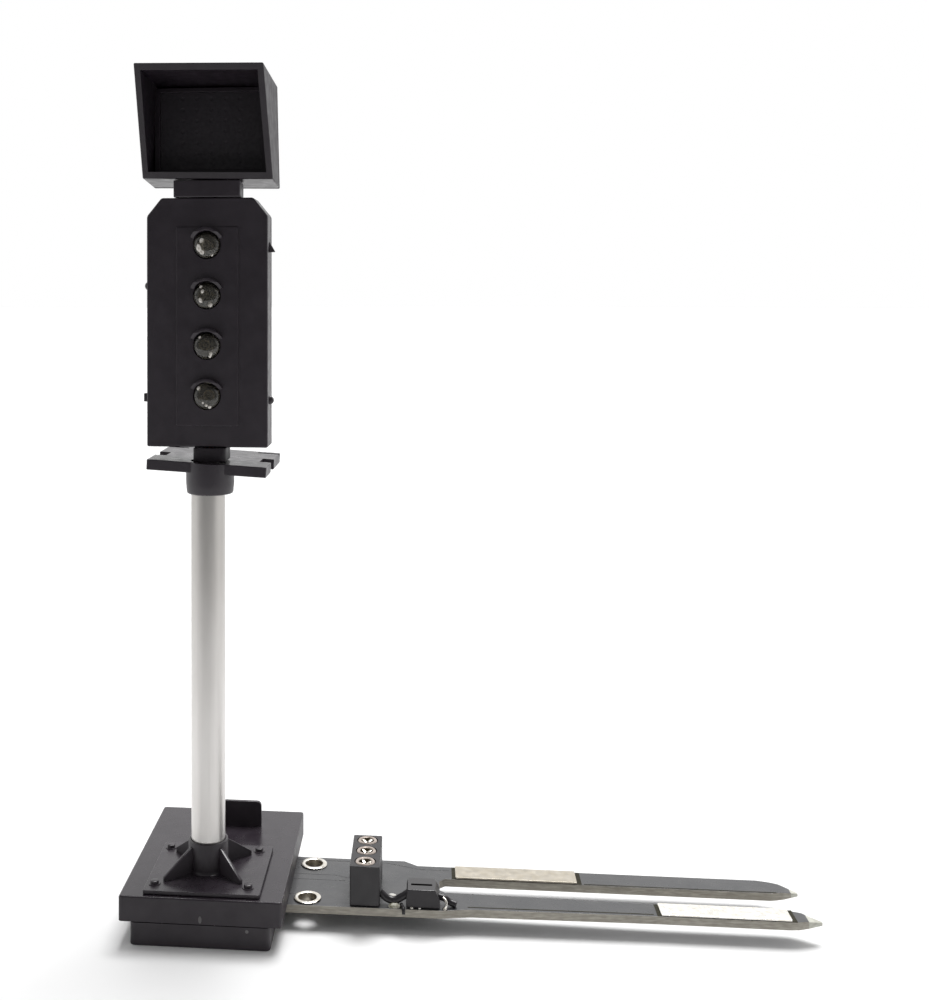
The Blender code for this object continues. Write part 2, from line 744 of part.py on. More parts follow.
def lamp_hood(number, z):
    """A half ring that stands out over a lamp, longest at the top."""
    inner, outer = LAMP_HOOD_R
    ring = []
    steps = 14
    for radius, order in ((outer, range(steps + 1)), (inner, range(steps, -1, -1))):
        for step in order:
            angle = math.radians(-12 + 204 * step / steps)
            ring.append((radius * math.cos(angle), z + radius * math.sin(angle)))
    return plate(
        f"lamp_hood_{number}", ring, (HEAD_FRONT_Y - LAMP_HOOD_LENGTH, HEAD_FRONT_Y + 0.2),
        "XZ", as_cutter=True,
    )


def lamp(name, z):
    """A clear lamp: a flange behind the face, a barrel in the hole and a domed end."""
    dome = [
        (LAMP_R * math.cos(a), 0.15 + 0.55 * math.sin(a))
        for a in (math.radians(90 - 15 * i) for i in range(7))
    ]
    dome[0] = (0, dome[0][1])
    back = -HEAD_WALL - GAP
    body = turned(name, dome + [
        (LAMP_R, back), (LAMP_FLANGE_R, back), (LAMP_FLANGE_R, back - 0.4), (0, back - 0.4),
    ], 24)
    return facing(body, z)


def head_board():
    return block("head_board", (-HEAD_BOARD_HALF, HEAD_BOARD_HALF), HEAD_BOARD_Y, HEAD_BOARD_Z)


def head_rear_cover():
    cover = plate(
        "head_rear_cover", head_outline(), (HEAD_BACK_Y + GAP, HEAD_BACK_Y + GAP + HEAD_COVER), "XZ"
    )
    round_edges(cover, 0.1, 2, 60)
    return cover


# ---------------------------------------------------------------- route box

def box_top(y):
    """Height of the box's top over a given depth."""
    (y0, z0), (y1, z1) = BOX_TOP_FRONT, BOX_TOP_BACK
    return z0 + (z1 - z0) * (y - y0) / (y1 - y0)


def box_bottom(y):
    (y0, z0), (y1, z1) = BOX_BOTTOM_FRONT, BOX_BOTTOM_BACK
    return z0 + (z1 - z0) * (y - y0) / (y1 - y0)


def box_piece(name, side, half_inset=0.0, as_cutter=False):
    """A side view of the box, given width: the sides lean in a little towards the top."""
    piece = plate(name, side, (-1, 1), "YZ", as_cutter)
    for vertex in piece.data.vertices:
        where = piece.matrix_basis @ vertex.co
        share = (where.z / MM - box_bottom(0)) / (box_top(0) - box_bottom(0))
        half = BOX_HALF_BOTTOM + (BOX_HALF_TOP - BOX_HALF_BOTTOM) * share - half_inset
        where.x *= half
        vertex.co = where
    piece.matrix_basis = Matrix.Identity(4)
    return box_roll(piece)


def box_roll(piece):
    """Moves a piece of the box off centre, and leans it a shade down on its right."""
    pivot = Matrix.Translation(mm(BOX_X, 0, BOX_BOTTOM_FRONT[1]))
    back = Matrix.Translation(mm(0, 0, -BOX_BOTTOM_FRONT[1]))
    piece.matrix_basis = pivot @ Matrix.Rotation(BOX_ROLL, 4, "Y") @ back @ piece.matrix_basis
    return piece


def theatre_bracket():
    """The block between the head and the box, sloped on top to meet the box's floor."""
    low, gap = HEAD_Z[1] + GAP, 0.08
    bracket = plate("theatre_bracket", [
        (BRACKET_Y[0], low), (BRACKET_Y[1], low), (BRACKET_Y[1], box_bottom(BRACKET_Y[1]) - gap),
        (BRACKET_Y[0], box_bottom(BRACKET_Y[0]) - gap),
    ], BRACKET_X, "YZ")
    round_edges(bracket, 0.08, 1)
    tongue = block("bracket_tongue", (-1.4, 1.4), (0.35, 1.25), (62.3, 66.0), as_cutter=True)
    wire_way = block("bracket_wire_way", (-0.8, 0.8), (0.6, 1.0), (61, 67), as_cutter=True)
    join(bracket, tongue)
    return cut(bracket, wire_way)


def theatre_hood():
    """The box's shell: open at the front, where its top reaches out past its floor."""
    back_top, back_bottom = BOX_TOP_BACK[0] - BOX_COVER, BOX_BOTTOM_BACK[0] - BOX_COVER
    hood = box_piece("theatre_hood", [
        BOX_BOTTOM_FRONT, (back_bottom, box_bottom(back_bottom)),
        (back_top, box_top(back_top)), BOX_TOP_FRONT,
    ])
    round_edges(hood, 0.07, 1)
    far = 9
    inside = box_piece("theatre_inside", [
        (-far, box_bottom(-far) + BOX_WALL), (far, box_bottom(far) + BOX_WALL),
        (far, box_top(far) - BOX_WALL), (-far, box_top(-far) - BOX_WALL),
    ], BOX_WALL, as_cutter=True)
    tongue_hole = block(
        "theatre_tongue_hole", (-1.5, 1.5), (0.3, 1.3), (64, 67), as_cutter=True
    )
    return cut(hood, inside, tongue_hole)


def theatre_rear_cover():
    back_top, back_bottom = BOX_TOP_BACK[0] - BOX_COVER, BOX_BOTTOM_BACK[0] - BOX_COVER
    gap = 2 * GAP
    cover = box_piece("theatre_rear_cover", [
        (back_bottom + gap, box_bottom(back_bottom + gap)), BOX_BOTTOM_BACK,
        BOX_TOP_BACK, (back_top + gap, box_top(back_top + gap)),
    ])
    return round_edges(cover, 0.1, 2, 60)


def box_insert(name, y, inset):
    """A flat piece across the inside of the box, kept clear of its walls by the inset."""
    bottom = box_bottom(y[0]) + BOX_WALL + inset
    top = box_top(y[1]) - BOX_WALL - inset
    return box_piece(
        name, [(y[0], bottom), (y[1], bottom), (y[1], top), (y[0], top)], BOX_WALL + inset
    )


# ---------------------------------------------------------------- the whole signal

def build():
    base = empty("base")
    mast = empty("mast", parent=base)
    for piece in (base_cover(), base_tray(), mast_foot(), socket_housing(), sensor_body()):
        finish(piece, BLACK_PLASTIC, base)
    finish(contact_board(), BOARD_BLACK, base)
    for name, y in zip(("ring_pad_front", "ring_pad_rear"), RING_Y):
        finish(ring_pad(name, y), TINNED, base)
    near = rail_contact("rail_contact_near", NEAR_RAIL_X, REAR_FINGER_Y)
    far = rail_contact("rail_contact_far", NEAR_RAIL_X + RAIL_SPACING, FRONT_FINGER_Y)
    finish(near, TINNED, base)
    finish(far, TINNED, base)
    for number, centre in enumerate(socket_centres()):
        finish(socket_sleeve(f"socket_sleeve_{number + 1}", centre), TINNED, base)
    for name, side in (("sensor_lead_left", -1), ("sensor_lead_right", 1)):
        finish(sensor_lead(name, side), BLACK_PLASTIC, base)
    electronics(base)

    finish(mast_tube(), ALUMINIUM, mast)
    finish(wire_loom(), ENAMEL, mast)
    for piece in (platform(), head_neck(), head_front(), head_rear_cover()):
        finish(piece, BLACK_PLASTIC, mast)
    finish(head_board(), BOARD_BLACK, mast)
    for name, z in zip(LAMP_NAMES, lamp_heights()):
        finish(lamp(name, z), CLEAR_LENS, mast)
    for piece in (theatre_bracket(), theatre_hood(), theatre_rear_cover()):
        finish(piece, BLACK_PLASTIC, mast)
    finish(box_insert("theatre_screen", SCREEN_Y, 0.12), SMOKED, mast)
    finish(box_insert("theatre_led_matrix", MATRIX_Y, 1.4), CHIP_BLACK, mast)
    finish(box_insert("theatre_board", BOX_BOARD_Y, 0.5), BOARD_BLACK, mast)


build()
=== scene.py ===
import math

import bmesh
import bpy
from mathutils import Matrix, Vector


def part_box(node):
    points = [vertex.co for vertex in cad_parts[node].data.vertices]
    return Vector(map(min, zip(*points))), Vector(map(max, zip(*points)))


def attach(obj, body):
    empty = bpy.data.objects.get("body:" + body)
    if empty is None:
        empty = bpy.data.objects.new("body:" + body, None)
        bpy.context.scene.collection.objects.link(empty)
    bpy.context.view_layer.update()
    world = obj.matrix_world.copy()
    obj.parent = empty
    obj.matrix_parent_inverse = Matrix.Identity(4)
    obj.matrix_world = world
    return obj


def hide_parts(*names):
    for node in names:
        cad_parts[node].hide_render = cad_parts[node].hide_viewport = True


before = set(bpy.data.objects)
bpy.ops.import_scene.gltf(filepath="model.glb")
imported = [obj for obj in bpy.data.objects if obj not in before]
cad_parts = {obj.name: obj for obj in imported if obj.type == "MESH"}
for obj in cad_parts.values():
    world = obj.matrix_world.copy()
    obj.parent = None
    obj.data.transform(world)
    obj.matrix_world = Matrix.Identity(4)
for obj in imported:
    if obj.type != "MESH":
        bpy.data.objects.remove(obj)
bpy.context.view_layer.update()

# The looks of a working model signal: a black base with a forked circuit board, an aluminium
# tube mast, a four-lamp head and a route box. Sizes and places are in millimetres, in the
# frame's axes: +X along the fork, +Y behind the lamps, +Z up. mm() turns them into metres.

X, Y, Z = 0, 1, 2
BASE = "base"
MAST = "mast"
PLASTIC = "black_plastic"
METAL = "tinned_metal"

# Sizes that the frame's boxes don't give
BASE_TOP = 4.15
COVER_WALL = 0.8
COVER_ROOF = 0.7
TAB_X = (-0.6, 3.42)
TAB_Y = (10.05, 10.45)
TAB_CORNER = 0.5
TRAY_FLOOR = 0.6
TRAY_WALL = 0.7
BOARD_PLAY = 0.05
FOOT_PLATE = 0.3
FOOT_ROOT = 0.1
DRUM_R = 1.75
DRUM_FILLET = 0.3
SPIGOT_R = 2.0
BOLTS = ((-4.06, -3.68), (4.06, -3.68), (4.06, 3.68), (-4.06, 3.68))
BOLT_R = 0.38
BOLT_HEIGHT = 0.32
FIN_REACH = 4.55
FIN_TOP = 6.7
FIN_HALF = 0.16
TUBE_R = 1.5
TUBE_BORE_R = 1.0
TUBE_PLAY = 0.03
RING_R = (0.80, 1.22)
RING_BARREL_R = 0.93
BARE_TIP_X = 51.55
REAR_TIP_X = 52.2
FRONT_FINGER_Y = (-2, 3.6)
REAR_FINGER_Y = (3.7, 8)
TRACK_X = 7.2
MASK_LIFT = 0.012
SLEEVE_R = 0.86
SLEEVE_PIN_R = 0.62
SLEEVE_MOUTH_R = 0.54
PLATFORM_TILT = math.radians(3.3)
PLATFORM_X = 5.3
PLATFORM_Y = (-1.5, 9.1)
PLATFORM_TOP = 40.51
PLATFORM_THICKNESS = 0.92
NOTCH_DEPTH = 1.05
NOTCH_Y = (1.9, 4.2)
GROOVE_LENGTH = 2.0
GROOVE_Y = (7.9, 8.4)
COLLAR_R = (2.06, 2.13)
COLLAR_ASIDE = 0.18
COLLAR_BORE_R = 1.54
COLLAR_BOTTOM = 37.72
HEAD_FACE = -0.6
HEAD_CHAMFER = (1.3, 1.6)
HEAD_WALL = 0.6
PANEL_X = (-2.75, 2.8)
PANEL_Z = (43.7, 61.2)
NECK_FRONT = -0.95
NECK_BOTTOM = 40.55
LAMP_R = 1.15
LAMP_FLANGE_R = 1.4
LAMP_DOME = (0.12, 0.58)
HOOD_R = (1.27, 1.57)
HOOD_ANGLES = (26, 154)
DOT_PITCH = (1.28, 0.98)

# Painted highlights on each lamp, pale mounds at its dome: across, up and radius
LAMP_PAINTED_HIGHLIGHTS = {
    "led_upper_yellow": (
        (-0.32, 0.30, 0.26), (-0.50, -0.20, 0.36), (-0.32, -0.52, 0.26), (0.50, -0.86, 0.12),
    ),
    "led_green": (
        (-0.44, 0.72, 0.15), (-0.26, 0.30, 0.20), (-0.42, -0.36, 0.23), (0.36, -0.76, 0.21),
    ),
    "led_lower_yellow": ((-0.54, 0.72, 0.14), (0.40, -0.62, 0.17), (0.34, -0.84, 0.15)),
    "led_red": (
        (-0.64, 0.66, 0.19), (-0.26, -0.54, 0.11), (0.02, -0.74, 0.14), (0.30, -0.88, 0.16),
    ),
}

# How each lamp's metal is turned, in degrees, and how high its post reaches
LAMP_FRAMES = {
    "led_red": (200, 0.05), "led_lower_yellow": (-30, -0.05),
    "led_green": (15, 0.1), "led_upper_yellow": (-5, 0.0),
}

# The stage. The focal length is in sensor widths, the floor is in metres, and the sun is the
# degrees right of and behind straight above, its width in degrees and its strength.
CAMERA_AT = (19.40, -113.00, 55.14)
CAMERA_YAW = -0.098
CAMERA_PITCH = 0.0087
CAMERA_SHIFT = (0.163, -0.193)
SENSOR_WIDTH = 36
FOCAL_LENGTH = 1.2948
FLOOR_R = 3.0
FLOOR_CENTRE = (0.01, 2.88, 0)
KEY_SUN = (6, 20, 32, 3.2)
SKY_OVERHEAD = 0.36
SKY_CAMERA_SIDE = 0.22

# Edges bent further than this, in degrees, are shaded as sharp ones
SHARP_ANGLE = 32

# Distances in metres within which points are one, and edges are nothing
WELD = 1e-7
CAD_WELD = 2e-7
SLIVER = 1e-8


def mm(*values):
    return Vector(values) * 0.001


def span(node, axis):
    """The lowest and highest value of a CAD node along an axis, in millimetres."""
    low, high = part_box(node)
    return low[axis] * 1000, high[axis] * 1000


def spans(node):
    """The spans of a CAD node along all three axes."""
    return [span(node, axis) for axis in (X, Y, Z)]


def middle(node, axis):
    return sum(span(node, axis)) / 2


def plan_middle(node):
    """The middle of a CAD node as seen from above."""
    return middle(node, X), middle(node, Y)


SLEEVES = [f"socket_sleeve_{number}" for number in (1, 2, 3)]
BOARD_BOTTOM, BOARD_TOP = span("contact_board", Z)
NEAR_RAIL = spans("rail_contact_near")
FAR_RAIL = spans("rail_contact_far")
SENSOR = spans("sensor_body")
SCREEN = spans("theatre_screen")


# --- making shapes

def placed(name, data):
    """A new object in the scene, of a mesh, curve, light or camera."""
    obj = bpy.data.objects.new(name, data)
    bpy.context.scene.collection.objects.link(obj)
    return obj


def opened(mesh):
    """A mesh's shape, ready to be edited."""
    shape = bmesh.new()
    shape.from_mesh(mesh)
    return shape


def closed(shape, mesh):
    """Writes a shape that is being edited to its mesh."""
    shape.to_mesh(mesh)
    shape.free()


def to_object(name, shape):
    mesh = bpy.data.meshes.new(name)
    closed(shape, mesh)
    return placed(name, mesh)


def lay(axis, a, b, along):
    """A point from its two flat coordinates and its place along the axis they are square to."""
    return {X: (along, a, b), Y: (a, along, b), Z: (a, b, along)}[axis]


def slab(name, outline, ends, axis=Z):
    """A closed outline with thickness: ends are where it starts and stops along the axis."""
    shape = bmesh.new()
    face = shape.faces.new([shape.verts.new(mm(*lay(axis, a, b, ends[0]))) for a, b in outline])
    made = bmesh.ops.extrude_face_region(shape, geom=[face])
    moved = [v for v in made["geom"] if isinstance(v, bmesh.types.BMVert)]
    bmesh.ops.translate(shape, vec=mm(*lay(axis, 0, 0, ends[1] - ends[0])), verts=moved)
    bmesh.ops.recalc_face_normals(shape, faces=shape.faces)
    return to_object(name, shape)


def oblong(a, b, inset=0):
    """The corners of a rectangle, each side moved in by the inset."""
    left, right, low, high = a[0] + inset, a[1] - inset, b[0] + inset, b[1] - inset
    return [(left, low), (right, low), (right, high), (left, high)]


def soft_corners(outline, radius, steps=4):
    """Rounds each corner of an outline with an arc that leaves both its sides at that distance."""
    points = []
    befores = outline[-1:] + outline[:-1]
    afters = outline[1:] + outline[:1]
    for before, corner, after in zip(befores, outline, afters):
        here = Vector(corner)
        start = here + (Vector(before) - here).normalized() * radius
        end = here + (Vector(after) - here).normalized() * radius
        for step in range(steps + 1):
            t = step / steps
            points.append(tuple((1 - t) ** 2 * start + 2 * t * (1 - t) * here + t * t * end))
    return points


def arc(centre, radius, start, end, steps):
    turn = [math.radians(start + (end - start) * step / steps) for step in range(steps + 1)]
    return [(centre[0] + radius * math.cos(a), centre[1] + radius * math.sin(a)) for a in turn]


def lathe(name, profile, centre=(0, 0), steps=64):
    """A turned solid about an upright axis, from a closed loop of (radius, height) points."""
    shape = bmesh.new()
    points = [shape.verts.new(mm(centre[0] + r, centre[1], z)) for r, z in profile]
    edges = [shape.edges.new(pair) for pair in zip(points, points[1:] + points[:1])]
    bmesh.ops.spin(
        shape, geom=points + edges, cent=mm(*centre, 0), axis=(0, 0, 1),
        angle=math.tau, steps=steps, use_merge=True,
    )
    bmesh.ops.remove_doubles(shape, verts=shape.verts, dist=WELD)
    bmesh.ops.dissolve_degenerate(shape, edges=shape.edges, dist=SLIVER)
    loose = [edge for edge in shape.edges if not edge.link_faces]
    bmesh.ops.delete(shape, geom=loose, context="EDGES")
    bmesh.ops.recalc_face_normals(shape, faces=shape.faces)
    return to_object(name, shape)


def rod(name, radius, top, bottom, centre=(0, 0), steps=64):
    """A plain upright round solid."""
    profile = [(0, top), (radius, top), (radius, bottom), (0, bottom)]
    return lathe(name, profile, centre, steps)


def ball(name, centre, radii):
    shape = bmesh.new()
    bmesh.ops.create_uvsphere(shape, u_segments=24, v_segments=12, radius=1)
    bmesh.ops.scale(shape, vec=mm(*radii), verts=shape.verts)
    bmesh.ops.translate(shape, vec=mm(*centre), verts=shape.verts)
    return to_object(name, shape)


def sweep(name, route, radius):
    """A round wire on a smooth curve through the route's points."""
    curve = bpy.data.curves.new(name, "CURVE")
    curve.dimensions = "3D"
    curve.bevel_depth = radius * 0.001
    curve.bevel_resolution = 4
    curve.use_fill_caps = True
    spline = curve.splines.new("BEZIER")
    spline.bezier_points.add(len(route) - 1)
    for point, where in zip(spline.bezier_points, route):
        point.co = mm(*where)
        point.handle_left_type = point.handle_right_type = "AUTO"
    spline.resolution_u = 8
    obj = apply_all(placed(name, curve))
    shape = opened(obj.data)
    bmesh.ops.remove_doubles(shape, verts=shape.verts, dist=WELD)
    bmesh.ops.recalc_face_normals(shape, faces=shape.faces)
    closed(shape, obj.data)
    return obj


def apply_all(obj):
    """Makes an object's modifiers, or a curve's thickness, part of its mesh."""
    bpy.context.view_layer.update()
    depsgraph = bpy.context.evaluated_depsgraph_get()
    mesh = bpy.data.meshes.new_from_object(obj.evaluated_get(depsgraph))
    name, place = obj.name, obj.matrix_world.copy()
    bpy.data.objects.remove(obj)
    made = placed(name, mesh)
    made.matrix_world = place
    return made


def edge_middle(edge):
    """Half the sum of the edge's ends, in millimetres."""
    return (edge.verts[0].co + edge.verts[1].co) * 500


def bevel(obj, width, segments=3, angle=50, where=None):
    """Rounds the edges that are sharper than an angle, or only those whose middle passes a test."""
    shape = opened(obj.data)
    edges = [
        edge for edge in shape.edges
        if len(edge.link_faces) == 2 and edge.calc_face_angle() > math.radians(angle)
        and (where is None or where(edge_middle(edge)))
    ]
    bmesh.ops.bevel(
        shape, geom=edges, offset=width * 0.001, offset_type="OFFSET", segments=segments,
        profile=0.5, affect="EDGES", clamp_overlap=True,
    )
    closed(shape, obj.data)
    return obj


def combine(obj, others, operation):
    for other in others:
        step = obj.modifiers.new("combine", "BOOLEAN")
        step.operation = operation
        step.solver = "EXACT"
        step.object = other
    made = apply_all(obj)
    for other in others:
        bpy.data.objects.remove(other)
    return made


def cut(obj, *others):
    return combine(obj, others, "DIFFERENCE")


def join(obj, *others):
    return combine(obj, others, "UNION")


def gather(name, *others):
    """Puts separate closed solids in one object."""
    shape = bmesh.new()
    for other in others:
        mesh = other.data.copy()
        mesh.transform(other.matrix_world)
        shape.from_mesh(mesh)
        bpy.data.objects.remove(other)
    return to_object(name, shape)


def turned_about(obj, matrix):
    obj.data.transform(matrix)
    return obj


def cad_copy(node, name):
    """A welded copy of a CAD node's shape, with its flat faces made whole again."""
    shape = opened(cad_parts[node].data)
    bmesh.ops.remove_doubles(shape, verts=shape.verts, dist=CAD_WELD)
    bmesh.ops.dissolve_limit(
        shape, angle_limit=math.radians(1), verts=shape.verts, edges=shape.edges,
        delimit={"NORMAL"},
    )
    bmesh.ops.recalc_face_normals(shape, faces=shape.faces)
    return to_object(name, shape)


def dress(obj, surface, body, slot, *nodes):
    """Shades a finished piece, gives it its surface and body, and hides the CAD nodes it stands
    for.
    """
    if not obj.data.materials:
        obj.data.materials.append(surface)
    obj.data.shade_smooth()
    obj.data.set_sharp_from_angle(angle=math.radians(SHARP_ANGLE))
    weight = obj.modifiers.new("flat faces", "WEIGHTED_NORMAL")
    weight.keep_sharp = True
    obj = apply_all(obj)
    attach(obj, body)
    if nodes:
        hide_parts(*nodes)
    return obj


# --- materials

def add(tree, kind, **inputs):
    """Adds a shader node, and gives each input another node's socket or a value."""
    node = tree.nodes.new("ShaderNode" + kind)
    for name, value in inputs.items():
        socket = node.inputs[name.replace("_", " ")]
        if isinstance(value, bpy.types.NodeSocket):
            tree.links.new(value, socket)
        else:
            socket.default_value = value
    return node


def mapped(tree, value, start, end, low, high, way="LINEAR"):
    """Maps the part of a value between start and end to a range."""
    ramp = add(tree, "MapRange", Value=value, From_Min=start, From_Max=end, To_Min=low, To_Max=high)
    ramp.interpolation_type = way
    return ramp.outputs["Result"]


def reckoned(tree, kind, *values):
    """A sum done on sockets."""
    made = add(tree, "Math")
    made.operation = kind
    for socket, value in zip(made.inputs, values):
        tree.links.new(value, socket)
    return made.outputs["Value"]


def split(tree, vector):
    """The X, Y and Z of a vector socket."""
    return add(tree, "SeparateXYZ", Vector=vector).outputs


class Surface:
    """A Principled material with patterns that are fixed to the object."""

    def __init__(self, name, colour, roughness, **sockets):
        self.material = bpy.data.materials.new(name)
        self.material.use_nodes = True
        self.tree = self.material.node_tree
        self.shader = self.tree.nodes["Principled BSDF"]
        self.shader.inputs["Base Color"].default_value = (*colour, 1)
        self.shader.inputs["Roughness"].default_value = roughness
        for socket, value in sockets.items():
            self.shader.inputs[socket.replace("_", " ")].default_value = value
        place = add(self.tree, "TexCoord").outputs
        self.where, self.facing = place["Object"], place["Normal"]
        self.bumps = None

    def feed(self, socket, value):
        self.tree.links.new(value, self.shader.inputs[socket])

    def noise(self, size, detail=3.0, stretch=(1, 1, 1)):
        """Noise whose features are about this many millimetres across."""
        scale = [1000 / (size * s) for s in stretch]
        where = add(self.tree, "Mapping", Vector=self.where, Scale=scale).outputs["Vector"]
        return add(self.tree, "TexNoise", Vector=where, Scale=1, Detail=detail).outputs["Fac"]

    def spread(self, value, low, high, start=0.35, end=0.65):
        """Maps the middle part of a pattern to a range."""
        return mapped(self.tree, value, start, end, low, high)

    def height(self, low, high):
        """Runs from 0 at one height, in millimetres, to 1 at another."""
        upward = split(self.tree, self.where)["Z"]
        return self.spread(upward, 0, 1, low * 0.001, high * 0.001)

    def by_slope(self, upright, level):
        """One value for faces that stand upright, which turns into another for level ones."""
        slope = reckoned(self.tree, "ABSOLUTE", split(self.tree, self.facing)["Z"])
        return self.spread(slope, upright, level, 0.2, 0.8)

    def blend(self, value, first, second, start=0.35, end=0.65):
        """A colour between two, led by a pattern."""
        mix = add(self.tree, "Mix", Factor=self.spread(value, 0, 1, start, end))
        mix.data_type = "RGBA"
        for socket, colour in ((mix.inputs[6], first), (mix.inputs[7], second)):
            if isinstance(colour, bpy.types.NodeSocket):
                self.tree.links.new(colour, socket)
            else:
                socket.default_value = (*colour, 1)
        return mix.outputs[2]

    def colour(self, value):
        self.feed("Base Color", value)

    def roughness(self, value, low, high):
        self.feed("Roughness", self.spread(value, low, high))

    def relief(self, value, depth, strength=1.0):
        """Adds a bump of this depth in millimetres on top of any that is there."""
        bump = add(self.tree, "Bump", Height=value, Distance=depth * 0.001, Strength=strength)
        if self.bumps:
            self.tree.links.new(self.bumps, bump.inputs["Normal"])
        self.bumps = bump.outputs["Normal"]
        self.feed("Normal", self.bumps)


def moulded(name, dark, light, rough, grain=0.006, sides=0.12, shine=0.5, flank=1.0):
    """Satin black moulding: a fine grain and smears of gloss.

    Upright faces are rougher by sides, and their shine is multiplied by flank.
    """
    made = Surface(name, dark, rough[0], Specular_IOR_Level=shine)
    made.colour(made.blend(made.noise(1.9, 4), dark, light))
    gloss = made.spread(made.noise(0.9, 5), *rough)
    made.feed("Roughness", reckoned(made.tree, "ADD", gloss, made.by_slope(sides, 0)))
    made.feed("Specular IOR Level", made.by_slope(shine * flank, shine))
    made.relief(made.noise(0.13, 2), grain)
    made.relief(made.noise(1.6, 2), grain * 3, 0.6)
    return made.material


def tinned(name, light, warm, rough=(0.16, 0.34), depth=0.012):
    """Tin or solder that has flowed: bright, with soft waves and duller patches."""
    made = Surface(name, light, rough[0], Metallic=1.0)
    made.colour(made.blend(made.noise(0.7, 4), light, warm))
    made.roughness(made.noise(0.35, 4), *rough)
    made.relief(made.noise(0.45, 2), depth)
    made.relief(made.noise(0.08, 2), depth * 0.3)
    return made.material


def drawn_aluminium():
    """Drawn tube: fine lines along its length and an oxide bloom, with painted reflected light:
    lighter near the foot, darker towards the top.
    """
    made = Surface("drawn_aluminium", (0.52, 0.51, 0.49), 0.34, Metallic=1.0)
    streaks = made.noise(0.10, 3, (1, 1, 90))
    bloom = made.noise(2.4, 4, (1, 1, 3))
    lit_low_tone = made.blend(bloom, (0.600, 0.583, 0.565), (0.635, 0.620, 0.605))
    dim_high_tone = made.blend(bloom, (0.420, 0.403, 0.385), (0.465, 0.450, 0.432))
    # Painted light: the bloom's tones fade from the lighter pair at the foot to the darker pair at
    # the top
    made.colour(made.blend(made.height(18, 34), lit_low_tone, dim_high_tone, 0, 1))
    made.roughness(streaks, 0.32, 0.42)
    made.relief(streaks, 0.003)
    return made.material


def solder_mask():
    """Black solder mask: glossy, slightly wavy, with a fine grain."""
    made = Surface(
        "solder_mask", (0.03, 0.031, 0.034), 0.3, Coat_Weight=0.25, Coat_Roughness=0.12
    )
    made.colour(made.blend(made.noise(2.2, 4), (0.037, 0.038, 0.041), (0.052, 0.052, 0.054)))
    made.roughness(made.noise(0.6, 4), 0.26, 0.40)
    made.relief(made.noise(0.22, 3), 0.005)
    made.relief(made.noise(0.5, 2, (6, 1, 1)), 0.006)
    return made.material


def laminate(name, pale, dark, rough=0.5, shine=0.5):
    """Bare glass-fibre laminate, with its plies and a trace of the woven glass."""
    made = Surface(name, pale, rough, Specular_IOR_Level=shine)
    plies = made.noise(0.10, 2, (40, 40, 1))
    fibres = made.noise(0.16, 2, (5, 1, 1))
    made.colour(made.blend(plies, made.blend(fibres, pale, dark), dark, 0.45, 0.7))
    made.roughness(fibres, rough - 0.08, rough + 0.12)
    made.relief(plies, 0.008)
    made.relief(fibres, 0.005)
    return made.material


def clear_epoxy():
    """Cast epoxy, clear but a little milky and brown with age."""
    made = Surface("clear_epoxy", (0.50, 0.44, 0.35), 0.06, Transmission_Weight=0.90, IOR=1.52)
    cloud = made.noise(0.9, 3)
    made.colour(made.blend(cloud, (0.26, 0.24, 0.19), (0.38, 0.35, 0.29)))
    made.roughness(made.noise(0.5, 3), 0.05, 0.12)
    made.relief(made.noise(0.6, 2), 0.010)
    return made.material


def chip_epoxy(name, dark, light, rough=0.55):
    made = Surface(name, dark, rough)
    made.colour(made.blend(made.noise(0.25, 3), dark, light))
    made.roughness(made.noise(0.3, 3), rough - 0.1, rough + 0.1)
    made.relief(made.noise(0.05, 2), 0.004)
    return made.material


def enamel():
    made = Surface("enamelled_wire", (0.42, 0.13, 0.05), 0.25, Metallic=0.8, Coat_Weight=0.8)
    strands = made.noise(0.25, 2, (1, 1, 12))
    made.colour(made.blend(strands, (0.30, 0.08, 0.03), (0.52, 0.20, 0.08)))
    made.roughness(strands, 0.2, 0.35)
    made.relief(strands, 0.03)
    return made.material


HEAD_BLACK = moulded(
    "head_plastic", (0.0150, 0.0105, 0.0160), (0.0215, 0.0160, 0.0225), (0.25, 0.36)
)
BOX_BLACK = moulded(
    "box_plastic", (0.0110, 0.0075, 0.0115), (0.0160, 0.0120, 0.0165), (0.28, 0.38),
    sides=0.15, shine=0.3,
)
BASE_BLACK = moulded(
    "base_plastic", (0.0195, 0.0148, 0.0200), (0.0275, 0.0220, 0.0280), (0.18, 0.28),
    grain=0.003, sides=0.28, shine=0.45,
)
FOOT_BLACK = moulded(
    "foot_plastic", (0.0200, 0.0150, 0.0205), (0.0285, 0.0225, 0.0290), (0.24, 0.34),
    grain=0.003, sides=0.2, shine=0.55,
)
SOCKET_BLACK = moulded(
    "socket_plastic", (0.0090, 0.0075, 0.0095), (0.0140, 0.0120, 0.0145), (0.26, 0.36), grain=0.003
)
SENSOR_BLACK = moulded(
    "sensor_plastic", (0.0100, 0.0080, 0.0105), (0.0150, 0.0125, 0.0155), (0.14, 0.22),
    grain=0.003, sides=0.35, shine=0.85, flank=0.6,
)
# Painted highlight: a paler plastic for the two small raised marks on the base's front
MARK_HIGHLIGHT = moulded("painted_highlight_plastic", (0.075, 0.072, 0.074), (0.13, 0.125, 0.125), (0.40, 0.55))
TIN = tinned("bright_tin", (0.86, 0.84, 0.79), (0.74, 0.69, 0.60))
CONTACT_TIN = tinned("contact_tin", (0.93, 0.92, 0.88), (0.86, 0.82, 0.74), (0.22, 0.40), 0.008)
